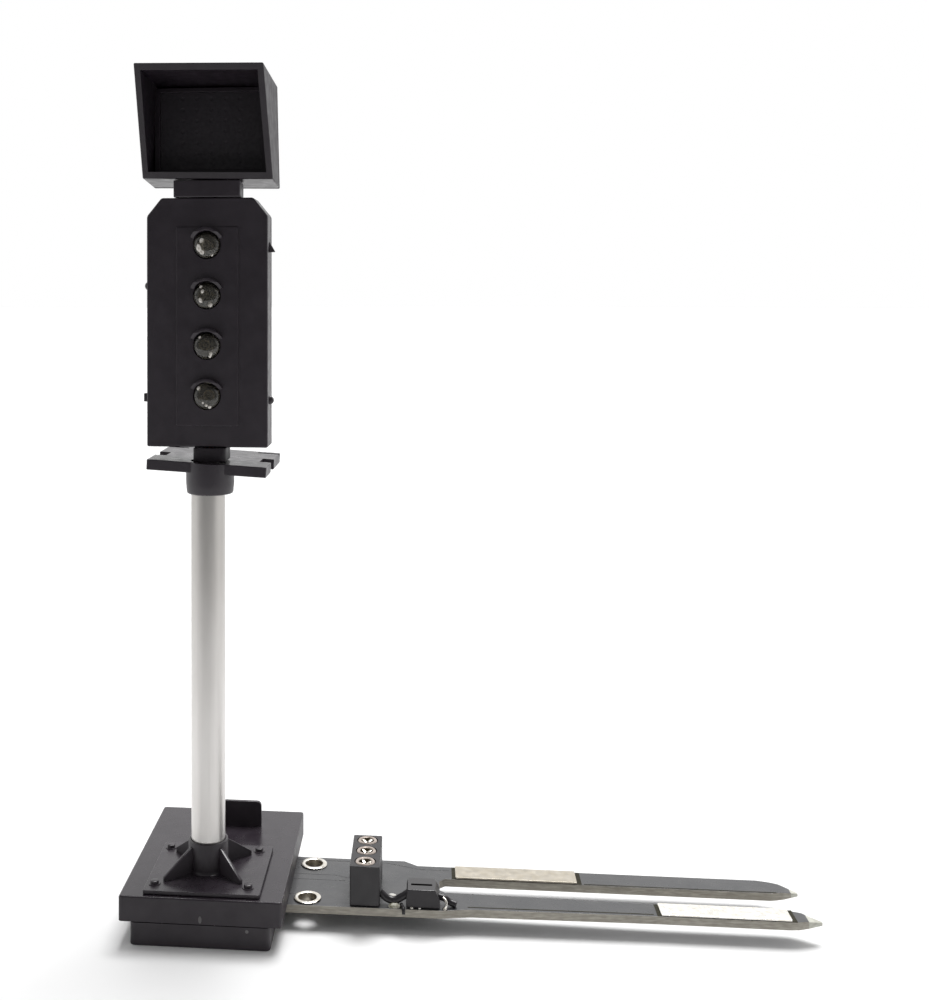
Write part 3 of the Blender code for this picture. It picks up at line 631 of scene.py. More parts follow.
# A darker tin: worn on the near rail contact, and painted shade inside the eyelet bores
WORN_TIN_AND_BORE_SHADE = tinned("worn_tin_and_bore_shade", (0.54, 0.50, 0.43), (0.44, 0.40, 0.33), (0.30, 0.46), 0.008)
SLEEVE_TIN = tinned("sleeve_tin", (0.56, 0.49, 0.44), (0.42, 0.36, 0.32), (0.26, 0.42))
BRONZE = tinned("spring_bronze", (0.20, 0.17, 0.12), (0.10, 0.085, 0.06), (0.35, 0.50))
SOLDER = tinned("solder", (0.86, 0.85, 0.82), (0.62, 0.58, 0.50), (0.14, 0.30), 0.03)
ALUMINIUM = drawn_aluminium()
MASK = solder_mask()
LAMINATE = laminate("board_edge", (0.42, 0.395, 0.34), (0.28, 0.26, 0.22))
WINDOW = laminate("mask_window", (0.060, 0.056, 0.040), (0.035, 0.033, 0.024), 0.8, 0.1)
BARE = laminate("bare_board", (0.60, 0.60, 0.53), (0.44, 0.44, 0.38), 0.45)
EPOXY = clear_epoxy()
CHIP = chip_epoxy("chip_epoxy", (0.018, 0.018, 0.019), (0.035, 0.034, 0.034))
CERAMIC = chip_epoxy("ceramic", (0.66, 0.62, 0.52), (0.74, 0.71, 0.62), 0.45)
TANTALUM = chip_epoxy("tantalum_case", (0.62, 0.38, 0.06), (0.70, 0.46, 0.10), 0.42)
ENAMEL = enamel()
FLUX = chip_epoxy("fluxed_solder", (0.17, 0.16, 0.10), (0.62, 0.61, 0.53), 0.25)
# Painted highlight: a pale white for the mounds that stand in for the lamps' glints
HIGHLIGHT_PAINT = chip_epoxy("painted_lamp_highlight", (0.42, 0.39, 0.35), (0.86, 0.83, 0.79), 0.3)
SMOKED = chip_epoxy("smoked_window", (0.010, 0.007, 0.011), (0.014, 0.010, 0.015), 0.6)


# --- base

def board_opening(name, wall_x, floor, roof):
    """A cutter that lets the board through the right wall of a base moulding."""
    low, high = span("contact_board", Y)
    outline = oblong((wall_x - 2, wall_x + 1), (low - BOARD_PLAY, high + BOARD_PLAY))
    return slab(name, outline, (floor, roof))


def base_lid():
    x, y, (bottom, top) = spans("base_cover")
    lid = slab("base_lid", soft_corners(oblong(x, y), 0.28), (bottom, BASE_TOP))
    lid = bevel(lid, 0.15, 4, where=lambda at: at.z > BASE_TOP - 0.01)
    lid = bevel(lid, 0.04, 2, where=lambda at: at.z < bottom + 0.01)
    tab_outline = soft_corners(oblong(TAB_X, (BASE_TOP - 0.3, top)), TAB_CORNER, 6)
    tab = bevel(slab("tab", tab_outline, TAB_Y, Y), 0.07, 3)
    hollow = slab("hollow", oblong(x, y, COVER_WALL), (bottom - 1, BASE_TOP - COVER_ROOF))
    slot = board_opening("slot", x[1], bottom - 1, BOARD_TOP + BOARD_PLAY)
    hole = rod("hole", SPIGOT_R + 0.05, BASE_TOP + 1, bottom)
    lid = cut(join(lid, tab), hollow, slot, hole)
    return dress(lid, BASE_BLACK, BASE, PLASTIC, "base_cover")


def base_tray():
    """The lower part, with four pillars under the board and four ejector marks."""
    x, y, (bottom, top) = spans("base_tray")
    tray = slab("base_pan", soft_corners(oblong(x, y), 0.45), (bottom, top))
    tray = bevel(tray, 0.12, 3, where=lambda at: at.z < bottom + 0.01)
    hollow = slab("hollow", oblong(x, y, TRAY_WALL), (TRAY_FLOOR, top + 1))
    rest, root = BOARD_BOTTOM - BOARD_PLAY, TRAY_FLOOR - 0.2
    notch = board_opening("notch", x[1], rest, top + 1)
    marks = [
        rod("ejector", 0.8, 0.06, -1, (side * 4, end), 40)
        for side in (-1, 1) for end in (y[0] + 2.2, y[1] - 2.2)
    ]
    pillar = [(0, rest), (0.5, rest), (0.6, rest - 0.1), (0.6, root), (0, root)]
    pillars = [
        lathe("pillar", pillar, (side * 4.1, end), 32) for side in (-1, 1) for end in (-0.6, 7.5)
    ]
    tray = join(cut(tray, hollow, notch, *marks), *pillars)
    return dress(tray, BASE_BLACK, BASE, PLASTIC, "base_tray")


def highlighted_marks():
    """Two small raised marks on the front of the base, in a paler plastic that is a painted
    highlight.
    """
    front, tray_front = span("base_cover", Y)[0], span("base_tray", Y)[0]
    high = ball("mark_high", (0.2, front + 0.04, 2.42), (0.19, 0.06, 0.42))
    low = ball("mark_low", (4.2, tray_front + 0.04, 1.6), (0.2, 0.06, 0.2))
    return dress(gather("highlighted_marks", high, low), MARK_HIGHLIGHT, BASE, PLASTIC)


def fin(root, angle):
    side = [(DRUM_R - 0.3, root), (FIN_REACH, root), (FIN_REACH, root + 0.45),
            (DRUM_R + 0.1, FIN_TOP), (DRUM_R - 0.3, FIN_TOP)]
    made = bevel(slab("fin", side, (-FIN_HALF, FIN_HALF), Y), 0.05, 2)
    return turned_about(made, Matrix.Rotation(angle, 4, "Z"))


def bolt(centre, root, start):
    """A small hexagon head with softened edges, turned by a start angle, on a washer face."""
    top = root + FOOT_ROOT + BOLT_HEIGHT
    head = slab("bolt", arc(centre, BOLT_R, start, 360 + start, 6)[:-1], (root, top))
    head = bevel(head, 0.05, 2, 40)
    washer = lathe("washer", [
        (0, root + 0.17), (BOLT_R + 0.10, root + 0.17), (BOLT_R + 0.13, root + 0.14),
        (BOLT_R + 0.13, root), (0, root),
    ], centre, 32)
    return join(washer, head)


def mast_foot():
    """The bolted plate, the drum with its fillet and spigot, the four fins and the bolt heads."""
    x, y, (bottom, top) = spans("mast_foot")
    plate_z = (BASE_TOP + 0.02, BASE_TOP + 0.05 + FOOT_PLATE)
    foot = bevel(slab("foot_moulding", soft_corners(oblong(x, y), 0.25), plate_z), 0.07, 3)
    hollow = (DRUM_R + DRUM_FILLET, plate_z[1] + DRUM_FILLET)
    fillet = arc(hollow, DRUM_FILLET, 180, 270, 5)
    shoulder = plate_z[0] + FOOT_ROOT
    drum = lathe("drum", [
        (0, top), (DRUM_R - 0.07, top), (DRUM_R - 0.02, top - 0.02), (DRUM_R, top - 0.07),
        *fillet, (SPIGOT_R, shoulder), (SPIGOT_R, bottom), (0, bottom),
    ], steps=72)
    root = plate_z[1] - FOOT_ROOT
    fins = [fin(root, math.atan2(y, x)) for x, y in BOLTS]
    bolts = [bolt(centre, root, 10 * number) for number, centre in enumerate(BOLTS)]
    foot = join(foot, drum, *fins, *bolts)
    bore_r = TUBE_R + TUBE_PLAY
    bore = lathe("bore", [
        (0, top + 1), (bore_r + 0.05, top + 1), (bore_r + 0.05, top - 0.02), (bore_r, top - 0.07),
        (bore_r, bottom - 1), (0, bottom - 1),
    ], steps=72)
    return dress(cut(foot, bore), FOOT_BLACK, BASE, PLASTIC, "mast_foot")


# --- circuit board

def contact_board():
    """The CAD board with chamfered tips and soft corners, its edges and tips in bare laminate."""
    board = cad_copy("contact_board", "forked_board")
    bottom, top = BOARD_BOTTOM, BOARD_TOP
    front_tip = span("contact_board", X)[1]
    for tip, y in ((front_tip, FRONT_FINGER_Y), (REAR_TIP_X, REAR_FINGER_Y)):
        below = slab("below", [
            (tip - 2.2, bottom - 0.002), (tip - 2.2, bottom - 1), (tip + 1, bottom - 1),
            (tip + 1, bottom + 0.16), (tip, bottom + 0.16),
        ], y, Y)
        above = slab("above", [
            (tip - 1.5, top + 0.002), (tip, top - 0.3), (tip + 1, top - 0.3), (tip + 1, top + 1),
            (tip - 1.5, top + 1),
        ], y, Y)
        board = cut(board, below, above)
    board = bevel(board, 0.035, 2)
    for surface in (MASK, LAMINATE, BARE):
        board.data.materials.append(surface)
    shape = opened(board.data)
    bmesh.ops.bisect_plane(
        shape, geom=shape.verts[:] + shape.edges[:] + shape.faces[:], dist=SLIVER,
        plane_co=mm(BARE_TIP_X, 0, 0), plane_no=(1, 0, 0),
    )
    for face in shape.faces:
        if face.calc_center_median().x * 1000 > BARE_TIP_X:
            face.material_index = 2
        else:
            face.material_index = int(abs(face.normal.z) < 0.5)
    closed(shape, board.data)
    return dress(board, MASK, BASE, "board_black", "contact_board")


def ribbon(name, route, width, ends):
    """A flat track with mitred bends along a route of flat points."""
    left, right = [], []
    for before, here, after in zip(route[:1] + route[:-1], route, route[1:] + route[-1:]):
        ahead = (Vector(after) - Vector(before)).normalized()
        side = Vector((-ahead.y, ahead.x)) * width / 2
        left.append(tuple(Vector(here) + side))
        right.append(tuple(Vector(here) - side))
    return slab(name, left + right[::-1], ends)


def board_tracks():
    """Copper tracks that show as low ridges under the solder mask, on both faces."""
    near, far, edge = NEAR_RAIL[X][0], FAR_RAIL[X][0], FAR_RAIL[Y][0] + 1
    pins = [middle(node, Y) for node in SLEEVES]
    pin_x = middle(SLEEVES[0], X)
    start = TRACK_X
    over = (BOARD_TOP - 0.01, BOARD_TOP + 0.016)
    under = (BOARD_BOTTOM - 0.022, BOARD_BOTTOM + 0.01)
    low, high = pins[0] - 0.5, pins[2] + 0.6
    routes = [
        ([(start, 8.0), (15.6, 8.0), (18.6, 6.95), (near - 0.5, 6.95)], 0.3, over),
        ([(start, 4.0), (11.9, 4.0)], 0.3, over),
        ([(start, 5.0), (11.0, 5.0), (12.2, pins[2])], 0.25, over),
        ([(start, low), (11.2, low), (pin_x, pins[0])], 0.3, under),
        ([(start, pins[1]), (pin_x, pins[1])], 0.3, under),
        ([(start, high), (11.8, high), (pin_x, pins[2])], 0.3, under),
        ([(15.0, 6.3), (far, 6.3), (49.0, 6.3)], 0.5, under),
        ([(15.0, edge), (49.5, edge)], 0.7, under),
    ]
    tracks = [bevel(ribbon("track", *route), 0.015, 2) for route in routes]
    return dress(gather("board_tracks", *tracks), MASK, BASE, "board_black")


def finger_dark_lines():
    """A thin dark line on the top of each finger, near its front edge."""
    rear_y, front_y = NEAR_RAIL[Y][0] + 0.06, FAR_RAIL[Y][0] + 0.2
    rear = [(NEAR_RAIL[X][1] + 0.6, rear_y), (50.2, rear_y)]
    front = [(22.8, front_y - 0.22), (36.0, front_y), (FAR_RAIL[X][0] - 0.6, front_y + 0.02)]
    ends = (BOARD_TOP - 0.01, BOARD_TOP + MASK_LIFT)
    lines = [ribbon("line", route, 0.13, ends) for route in (rear, front)]
    return dress(gather("finger_dark_lines", *lines), WINDOW, BASE, "board_black")


def two_finishes(obj, outside, inside, centre, radius):
    """Gives the faces within a radius of an upright axis a finish of their own."""
    obj.data.materials.append(outside)
    obj.data.materials.append(inside)
    for face in obj.data.polygons:
        away = Vector(face.center[:2]) * 1000 - Vector(centre)
        face.material_index = int(away.length < radius)
    return obj


def ring_pad(node):
    """A plated eyelet: a ring with rounded rims on a barrel through the board."""
    centre = plan_middle(node)
    bottom, top = span(node, Z)
    inner, outer = RING_R
    eyelet = lathe(node + "_eyelet", [
        (inner + 0.10, top), (outer - 0.10, top), (outer - 0.03, top - 0.03), (outer, top - 0.09),
        (RING_BARREL_R, top - 0.10), (RING_BARREL_R, bottom), (inner, bottom),
        (inner, top - 0.10), (inner + 0.03, top - 0.03),
    ], centre, 72)
    # Painted shade: the bore takes the darker worn tin in place of the shade inside the hole
    eyelet = two_finishes(eyelet, TIN, WORN_TIN_AND_BORE_SHADE, centre, inner + 0.02)
    return dress(eyelet, TIN, BASE, METAL, node)


def rail_contact(node, surface):
    x, y, z = spans(node)
    strip = slab(node + "_strip", soft_corners(oblong(x, y), 0.12), (z[0] - 0.04, z[1]))
    return dress(bevel(strip, 0.04, 3), surface, BASE, METAL, node)


def contact_windows():
    """The openings in the solder mask, where bare laminate shows round each contact."""
    frames = []
    for x, y, _ in (NEAR_RAIL, FAR_RAIL):
        outline = oblong((x[0] - 0.32, x[1] + 0.42), (y[0] - 0.04, y[1] + 0.04))
        frames.append(slab("frame", outline, (BOARD_TOP - 0.02, BOARD_TOP + MASK_LIFT)))
    return dress(gather("contact_windows", *frames), WINDOW, BASE, "board_black")


# --- socket and sensor

def socket_housing():
    """Three square cells moulded in one, with a nick between them and a stepped hole in each."""
    x, y, z = spans("socket_housing")
    third = (y[1] - y[0]) / 3
    nick = 0.07
    outline = []
    for edge, inward, order in ((x[0], nick, (0, 1, 2)), (x[1], -nick, (2, 1, 0))):
        for cell in order:
            first, last = y[0] + third * cell, y[0] + third * (cell + 1)
            inner = edge + inward
            ends = [(inner, first), (edge, first + nick), (edge, last - nick), (inner, last)]
            outline += ends if inward > 0 else ends[::-1]
    outline = [p for i, p in enumerate(outline) if p != outline[i - 1]]
    housing = bevel(slab("socket_block", outline[::-1], z), 0.05, 2, 60)
    hole = [
        (0, z[1] + 1), (0.95, z[1] + 1), (0.95, z[1] + 0.02), (0.91, z[1] - 0.35),
        (0.67, z[1] - 0.35), (0.67, z[0] - 1), (0, z[0] - 1),
    ]
    holes = [lathe("hole", hole, plan_middle(node), 48) for node in SLEEVES]
    return dress(cut(housing, *holes), SOCKET_BLACK, BASE, PLASTIC, "socket_housing")


def socket_sleeve(node):
    """A turned sleeve with a wide mouth."""
    centre = plan_middle(node)
    bottom, top = span(node, Z)
    outer, mouth, pin = SLEEVE_R, SLEEVE_MOUTH_R, SLEEVE_PIN_R
    sleeve = lathe(node + "_turned", [
        (0, bottom + 0.6), (mouth, bottom + 0.8), (mouth, top - 0.12), (mouth + 0.02, top - 0.06),
        (mouth + 0.10, top), (outer - 0.07, top), (outer, top - 0.07), (outer, top - 0.35),
        (pin, top - 0.36), (pin, bottom), (0, bottom),
    ], centre, 56)
    sleeve = two_finishes(sleeve, SLEEVE_TIN, BRONZE, centre, mouth + 0.015)
    return dress(sleeve, SLEEVE_TIN, BASE, METAL, node)


def socket_clips():
    """Four sprung leaves inside each sleeve, bent in from its mouth."""
    leaves = []
    for number, node in enumerate(SLEEVES):
        place = Matrix.Translation(mm(*plan_middle(node), 0))
        top = span(node, Z)[1]
        side = [
            (0.53, top - 0.10), (0.53, top - 1.4), (0.44, top - 1.4), (0.40, top - 0.5),
            (0.11, top - 0.34), (0.11, top - 0.25),
        ]
        for quarter in range(4):
            angle = math.radians(90 * quarter + 24 + 14 * number)
            leaf = slab("leaf", side, (-0.12, 0.12), Y)
            turned_about(leaf, place @ Matrix.Rotation(angle, 4, "Z"))
            leaves.append(bevel(leaf, 0.02, 2))
    return dress(gather("socket_clips", *leaves), TIN, BASE, METAL)


def sensor_body():
    """The sensor's sloping body, with a slot in its top and a step at the back."""
    x, y, z = SENSOR
    top_x = (x[0] + 0.1, x[1] - 0.4)
    side = [
        (x[0], z[0]), (x[1], z[0]), (x[1], z[0] + 0.55), (top_x[1], z[1]), (top_x[0], z[1]),
        (x[0], z[0] + 0.9),
    ]
    body = bevel(slab("sensor_moulding", side, y, Y), 0.06, 3, 25)
    centre = (y[0] + y[1]) / 2 - 0.3
    slot = oblong((top_x[0] + 0.3, top_x[1] - 0.25), (centre - 0.17, centre + 0.17))
    window = slab("window", soft_corners(slot, 0.1), (z[1] - 0.3, z[1] + 1))
    rear = oblong((top_x[0] - 1, top_x[1] + 1), (y[1] - 0.4, y[1] + 1))
    step = slab("step", rear, (z[1] - 0.45, z[1] + 1))
    return dress(cut(body, window, step), SENSOR_BLACK, BASE, PLASTIC, "sensor_body")


def sensor_lead(node, radius, route):
    """A sleeved lead."""
    lead = sweep(node + "_sleeved", route, radius)
    return dress(lead, SOCKET_BLACK, BASE, PLASTIC, node)


def sensor_leads():
    """The left lead hangs across to the socket, and the right one comes down to the board."""
    x = SENSOR[X]
    low = BOARD_TOP + 0.26
    wall = span("socket_housing", X)[1]
    sensor_lead("sensor_lead_left", 0.33, [
        (x[0] + 0.15, -0.3, 3.15), (x[0] - 0.35, -0.4, 2.85), (x[0] - 0.95, -0.45, low + 0.22),
        (x[0] - 1.55, -0.4, low + 0.26), (wall + 0.04, -0.25, 3.1),
    ])
    sensor_lead("sensor_lead_right", 0.29, [
        (x[1] - 0.1, 0.05, 2.8), (x[1] + 0.4, -0.08, 2.72), (x[1] + 0.9, -0.22, low + 0.12),
        (x[1] + 1.4, -0.38, low),
    ])


def solder_joints():
    """Solder: blobs by the sensor's legs, its bright right leg, and the socket's pins below."""
    bottom, top = BOARD_BOTTOM, BOARD_TOP
    x, front = SENSOR[X], SENSOR[Y][0]
    joints = [
        ball("joint_rear", (x[0] - 1.3, 1.3, top), (0.42, 0.42, 0.12)),
        ball("foot_1", (x[0] + 0.45, front - 0.02, top + 0.02), (0.16, 0.1, 0.14)),
        ball("foot_2", (x[0] + 1.15, front - 0.02, top + 0.02), (0.13, 0.09, 0.11)),
        ball("joint_right", (x[1] + 0.42, -0.78, top + 0.03), (0.2, 0.22, 0.16)),
        sweep("leg_right", [
            (x[1] + 0.3, -0.35, 2.85), (x[1] + 0.5, -0.62, 2.72), (x[1] + 0.56, -0.8, 2.45),
            (x[1] + 0.42, -0.82, top + 0.04),
        ], 0.13),
    ]
    pin = [
        (0, bottom + 0.02), (0.55, bottom + 0.02), (0.42, bottom - 0.14), (0.28, bottom - 0.34),
        (0.22, bottom - 0.52), (0.12, bottom - 0.6), (0, bottom - 0.61),
    ]
    joints += [lathe("pin_joint", pin, plan_middle(node), 40) for node in SLEEVES]
    return dress(gather("solder_joints", *joints), SOLDER, BASE, METAL)


def fluxed_joint():
    """The sensor's left joint, under its sleeve, dulled by flux."""
    x = SENSOR[X][0]
    blob = ball("blob", (x - 1.0, -0.78, BOARD_TOP + 0.02), (0.58, 0.3, 0.36))
    return dress(blob, FLUX, BASE, METAL)


def cut_leg():
    """The sooty end of the sensor's left leg, bent over the board's edge."""
    x = SENSOR[X][0]
    top = BOARD_TOP
    leg = sweep("cut_leg", [
        (x - 0.45, -0.7, top + 0.25), (x - 0.3, -1.05, top + 0.14), (x - 0.24, -1.32, top + 0.08),
        (x - 0.22, -1.44, top - 0.3),
    ], 0.15)
    return dress(leg, SOCKET_BLACK, BASE, METAL)


# --- mast

def mast_tube():
    bottom, top = span("mast_tube", Z)
    lip = 0.1
    tube = lathe("mast_tube_drawn", [
        (TUBE_BORE_R, top), (TUBE_R - lip, top), (TUBE_R - lip * 0.3, top - lip * 0.3),
        (TUBE_R, top - lip), (TUBE_R, bottom), (TUBE_BORE_R, bottom),
    ], steps=96)
    return dress(tube, ALUMINIUM, MAST, "aluminium", "mast_tube")


def lean(obj):
    pivot = Matrix.Translation(mm(0, 0, (COLLAR_BOTTOM + PLATFORM_TOP) / 2))
    return turned_about(obj, pivot @ Matrix.Rotation(PLATFORM_TILT, 4, "Y") @ pivot.inverted())


def platform():
    """The deck, which leans a little, with a slot and a groove in each end, and its collar."""
    top, bottom = PLATFORM_TOP, PLATFORM_TOP - PLATFORM_THICKNESS
    outline = soft_corners(oblong((-PLATFORM_X, PLATFORM_X), PLATFORM_Y), 0.12)
    deck = bevel(slab("platform_moulding", outline, (bottom, top)), 0.07, 3)
    cuts = []
    for depth, y, floor in (
        (NOTCH_DEPTH, NOTCH_Y, bottom - 1), (GROOVE_LENGTH, GROOVE_Y, top - 0.3)
    ):
        for side in (-1, 1):
            x = sorted((side * (PLATFORM_X - depth), side * (PLATFORM_X + 1)))
            cuts.append(slab("cut", oblong(x, y), (floor, top + 1)))
    deck = lean(cut(deck, *cuts))
    r_low, r_top = COLLAR_R
    collar = lathe("collar", [
        (0, top + 0.2), (r_top, top + 0.2), (r_top, bottom - 0.9), (r_low, COLLAR_BOTTOM + 0.2),
        (r_low - 0.05, COLLAR_BOTTOM + 0.06), (r_low - 0.16, COLLAR_BOTTOM), (0, COLLAR_BOTTOM),
    ], (COLLAR_ASIDE, 0), 72)
    spare = lean(slab("spare", oblong((-3, 3), (-3, 3)), (top - 0.02, top + 2)))
    bore = rod("bore", COLLAR_BORE_R, top + 1, COLLAR_BOTTOM - 1)
    deck = cut(join(deck, cut(collar, spare)), bore)
    return dress(deck, HEAD_BLACK, MAST, PLASTIC, "platform")


# --- head

def head_outline(node="head_front", inset=0.0):
    """The head from the front, with its two upper corners cut off."""
    corners = oblong(span(node, X), span(node, Z), inset)
    (left, bottom), (right, top) = corners[0], corners[2]
    across, down = HEAD_CHAMFER
    return [(left, bottom), (right, bottom), (right, top - down), (right - across, top),
            (left + across, top), (left, top - down)]


def facing(obj, z, x=0, y=HEAD_FACE):
    """Turns a piece made about the Z axis so that its top faces the driver, and places it."""
    turn = Matrix.Rotation(math.radians(90), 4, "X")
    turn.translation = mm(x, y, z)
    return turned_about(obj, turn)


def lamp_hood(z):
    """A visor over a lamp: a part ring, longest at the top and cut back to its lower ends."""
    inner, outer = HOOD_R
    start, end = HOOD_ANGLES
    ring = arc((0, z), outer, start, end, 32) + arc((0, z), inner, end, start, 32)
    front = span("head_front", Y)[0]
    hood = slab("hood", ring, (front, HEAD_FACE + 0.2), Y)
    hood = bevel(hood, 0.05, 2, 60)
    back = HEAD_FACE - 0.08
    wedge = slab("wedge", [
        (front - 1, z + 1.2), (front - 1, z - 3), (back, z - 3), (back, z + 0.3),
        (front - 0.02, z + 1.2),
    ], (-3, 3), X)
    return cut(hood, wedge)


def head_nibs():
    """Three small nibs and a spur on the head's sides."""
    left, right = span("head_front", X)
    stub = oblong((left - 0.5, left + 0.2), (45.7, 46.45))
    spur = [(right - 0.2, 58.95), (right + 0.52, 59.0), (right - 0.2, 60.3)]
    return [
        ball("nib_left_high", (left, 0.7, 56.0), (0.44, 0.4, 0.42)),
        bevel(slab("nib_left_low", stub, (0.45, 0.95), Y), 0.06, 2),
        ball("nib_right_low", (right, 0.7, 45.9), (0.4, 0.3, 0.38)),
        bevel(slab("spur_right", spur, (0.5, 0.85), Y), 0.03, 2),
    ]


def head_front():
    """The head's front: its face with a raised panel, a hood over each lamp, and its walls."""
    rear = span("head_front", Y)[1]
    bottom, top = span("head_front", Z)
    front = slab("head_moulding", soft_corners(head_outline(), 0.18), (HEAD_FACE, rear), Y)
    front = bevel(front, 0.16, 4, 60)
    panel = soft_corners(oblong(PANEL_X, PANEL_Z), 0.2)
    raised = bevel(slab("raised_panel", panel, (HEAD_FACE - 0.1, HEAD_FACE + 0.2), Y), 0.08, 3, 60)
    nibs = head_nibs()
    heights = [middle(node, Z) for node in LAMP_FRAMES]
    hoods = [lamp_hood(z) for z in heights]
    front = join(front, raised, *hoods, *nibs)
    inside = slab("inside", head_outline(inset=HEAD_WALL), (HEAD_FACE + HEAD_WALL, rear + 1), Y)
    wires = slab("wires", oblong((-0.75, 0.75), (0.15, 1.7)), (bottom - 1, 43))
    tongue = slab("tongue", oblong((-1.5, 1.5), (0.3, 1.3)), (top - 1, top + 1))
    mouth, barrel = LAMP_R + 0.09, LAMP_R + 0.03
    hole = [(0, 2), (mouth, 2), (mouth, 0.04), (barrel, -0.04), (barrel, -1), (0, -1)]
    holes = [facing(lathe("lamp_hole", hole, steps=56), z) for z in heights]
    front = cut(front, inside, wires, tongue, *holes)
    return dress(front, HEAD_BLACK, MAST, PLASTIC, "head_front")


def head_rear_cover():
    """The rear cover, with a low door panel moulded on it."""
    front, rear = span("head_rear_cover", Y)
    outline = soft_corners(head_outline("head_rear_cover"), 0.18)
    cover = bevel(slab("head_back", outline, (front, rear - 0.12), Y), 0.12, 3, 60)
    z = span("head_rear_cover", Z)
    panel = soft_corners(oblong((-4.1, 4.1), (z[0] + 1.3, z[1] - 2.4)), 0.5)
    door = bevel(slab("door", panel, (front + 0.1, rear), Y), 0.09, 3, 60)
    return dress(join(cover, door), HEAD_BLACK, MAST, PLASTIC, "head_rear_cover")


def head_neck():
    """The neck block, and its hollow stem in the tube's top."""
    x, y, (bottom, top) = spans("head_neck")
    outline = soft_corners(oblong(x, (NECK_FRONT, y[1])), 0.5, 6)
    block = bevel(slab("neck_moulding", outline, (NECK_BOTTOM, top)), 0.08, 3, 60)
    stem = lathe("stem", [
        (0, NECK_BOTTOM + 0.3), (0.96, NECK_BOTTOM + 0.3), (0.96, bottom + 0.1), (0.86, bottom),
        (0, bottom),
    ], steps=48)
    way = rod("way", 0.62, top + 1, bottom - 1, steps=40)
    pocket = slab("pocket", oblong((-0.75, 0.75), (-0.3, 1.7)), (NECK_BOTTOM + 0.35, top + 1))
    neck = cut(join(block, stem), way, pocket)
    return dress(neck, BOX_BLACK, MAST, PLASTIC, "head_neck")


def lamp_lens(node):
    """A clear cast lamp: a domed end, a barrel and a flange behind the face."""
    back = -HEAD_WALL - 0.05
    base, rise = LAMP_DOME
    dome = [
        (LAMP_R * math.cos(math.radians(a)), base + rise * math.sin(math.radians(a)))
        for a in range(90, -1, -9)
    ]
    dome[0] = (0, dome[0][1])
    rim = LAMP_FLANGE_R
    lens = lathe(node + "_lens", dome + [
        (LAMP_R, back), (rim - 0.03, back), (rim, back - 0.03), (rim, back - 0.4), (0, back - 0.4),
    ], steps=56)
    return dress(facing(lens, middle(node, Z)), EPOXY, MAST, "clear_lens", node)


def lamp_frame(node, turn, reach):
    """The metal inside a lamp: an anvil with its cup, a post beside it, the die and a bond wire."""
    back = -HEAD_WALL - 0.35
    sides = (-0.16, 0.16)
    cup = lathe("cup", [
        (0, -0.18), (0.16, -0.18), (0.34, 0.02), (0.44, 0.02), (0.44, -0.30), (0, -0.34),
    ], (-0.18, 0), 32)
    anvil = slab("anvil", [
        (-0.72, back), (-0.05, back), (-0.05, -0.5), (0.12, -0.25), (-0.48, -0.2), (-0.80, -0.45),
    ], sides, Y)
    post = slab("post", [
        (0.30, back), (0.66, back), (0.66, -0.3), (0.58, reach), (0.38, reach), (0.30, -0.3),
    ], sides, Y)
    die = slab("die", oblong((-0.27, -0.09), (-0.09, 0.09)), (-0.18, -0.08))
    bond = sweep("bond", [
        (-0.18, 0, -0.09), (-0.02, 0, 0.10), (0.22, 0, 0.12), (0.48, 0, reach),
    ], 0.025)
    metal = gather(node + "_leadframe", cup, bevel(anvil, 0.04, 2), bevel(post, 0.04, 2), die, bond)
    turned_about(metal, Matrix.Rotation(math.radians(turn), 4, "Z"))
    return dress(facing(metal, middle(node, Z)), BRONZE, MAST, METAL)


def lamp_painted_highlights(node):
    """Painted highlights on a lamp: pale mounds at its dome's surface that stand in for its glints.
    """
    base, rise = LAMP_DOME
    spots = []
    for across, up, radius in LAMP_PAINTED_HIGHLIGHTS[node]:
        dome = base + rise * math.sqrt(1 - (math.hypot(across, up) / LAMP_R) ** 2)
        centre = (across, up, dome - radius * 0.5 + 0.02)
        spots.append(ball("spot", centre, (radius, radius * 1.25, radius * 0.5)))
    metal = gather(node + "_painted_highlights", *spots)
    return dress(facing(metal, middle(node, Z)), HIGHLIGHT_PAINT, MAST, METAL)


# --- route box

def route_piece(node, name, surface, *rounding):
    """A piece that keeps its CAD shape, with its edges rounded where told how."""
    piece = cad_copy(node, name)
    if rounding:
        piece = bevel(piece, *rounding)
    return dress(piece, surface, MAST, PLASTIC, node)


def theatre_screen():
    """The smoked screen, with a grid of small shallow dimples where its lamps are."""
    x, y, z = SCREEN
    screen = bevel(cad_copy("theatre_screen", "route_screen"), 0.04, 2, 40)
    dimple = [(0, 1), (0.23, 1), (0.23, 0.01), (0.16, -0.02), (0, -0.03)]
    holes = []
    for column in range(5):
        for row in range(7):
            across = (x[0] + x[1]) / 2 + DOT_PITCH[0] * (column - 2)
            up = (z[0] + z[1]) / 2 + DOT_PITCH[1] * (row - 3)
            hole = lathe("dot", dimple, steps=20)
            holes.append(facing(hole, up, across, y[0]))
    screen = cut(screen, gather("dots", *holes))
    return dress(screen, SMOKED, MAST, "smoked_screen", "theatre_screen")


def theatre_bezel():
    """The frame round the screen."""
    x, y, z = SCREEN
    front, back = y[0] - 0.35, y[0] - 0.02
    bezel = slab("route_bezel", oblong(x, z, 0.05), (front, back), Y)
    opening = oblong((x[0] + 0.55, x[1] - 0.55), (z[0] + 0.55, z[1] - 0.45))
    inner = slab("inner", soft_corners(opening, 0.15), (front - 1, back + 1), Y)
    bezel = bevel(cut(bezel, inner), 0.06, 3, 60)
    return dress(bezel, BOX_BLACK, MAST, PLASTIC)


# --- hidden pieces

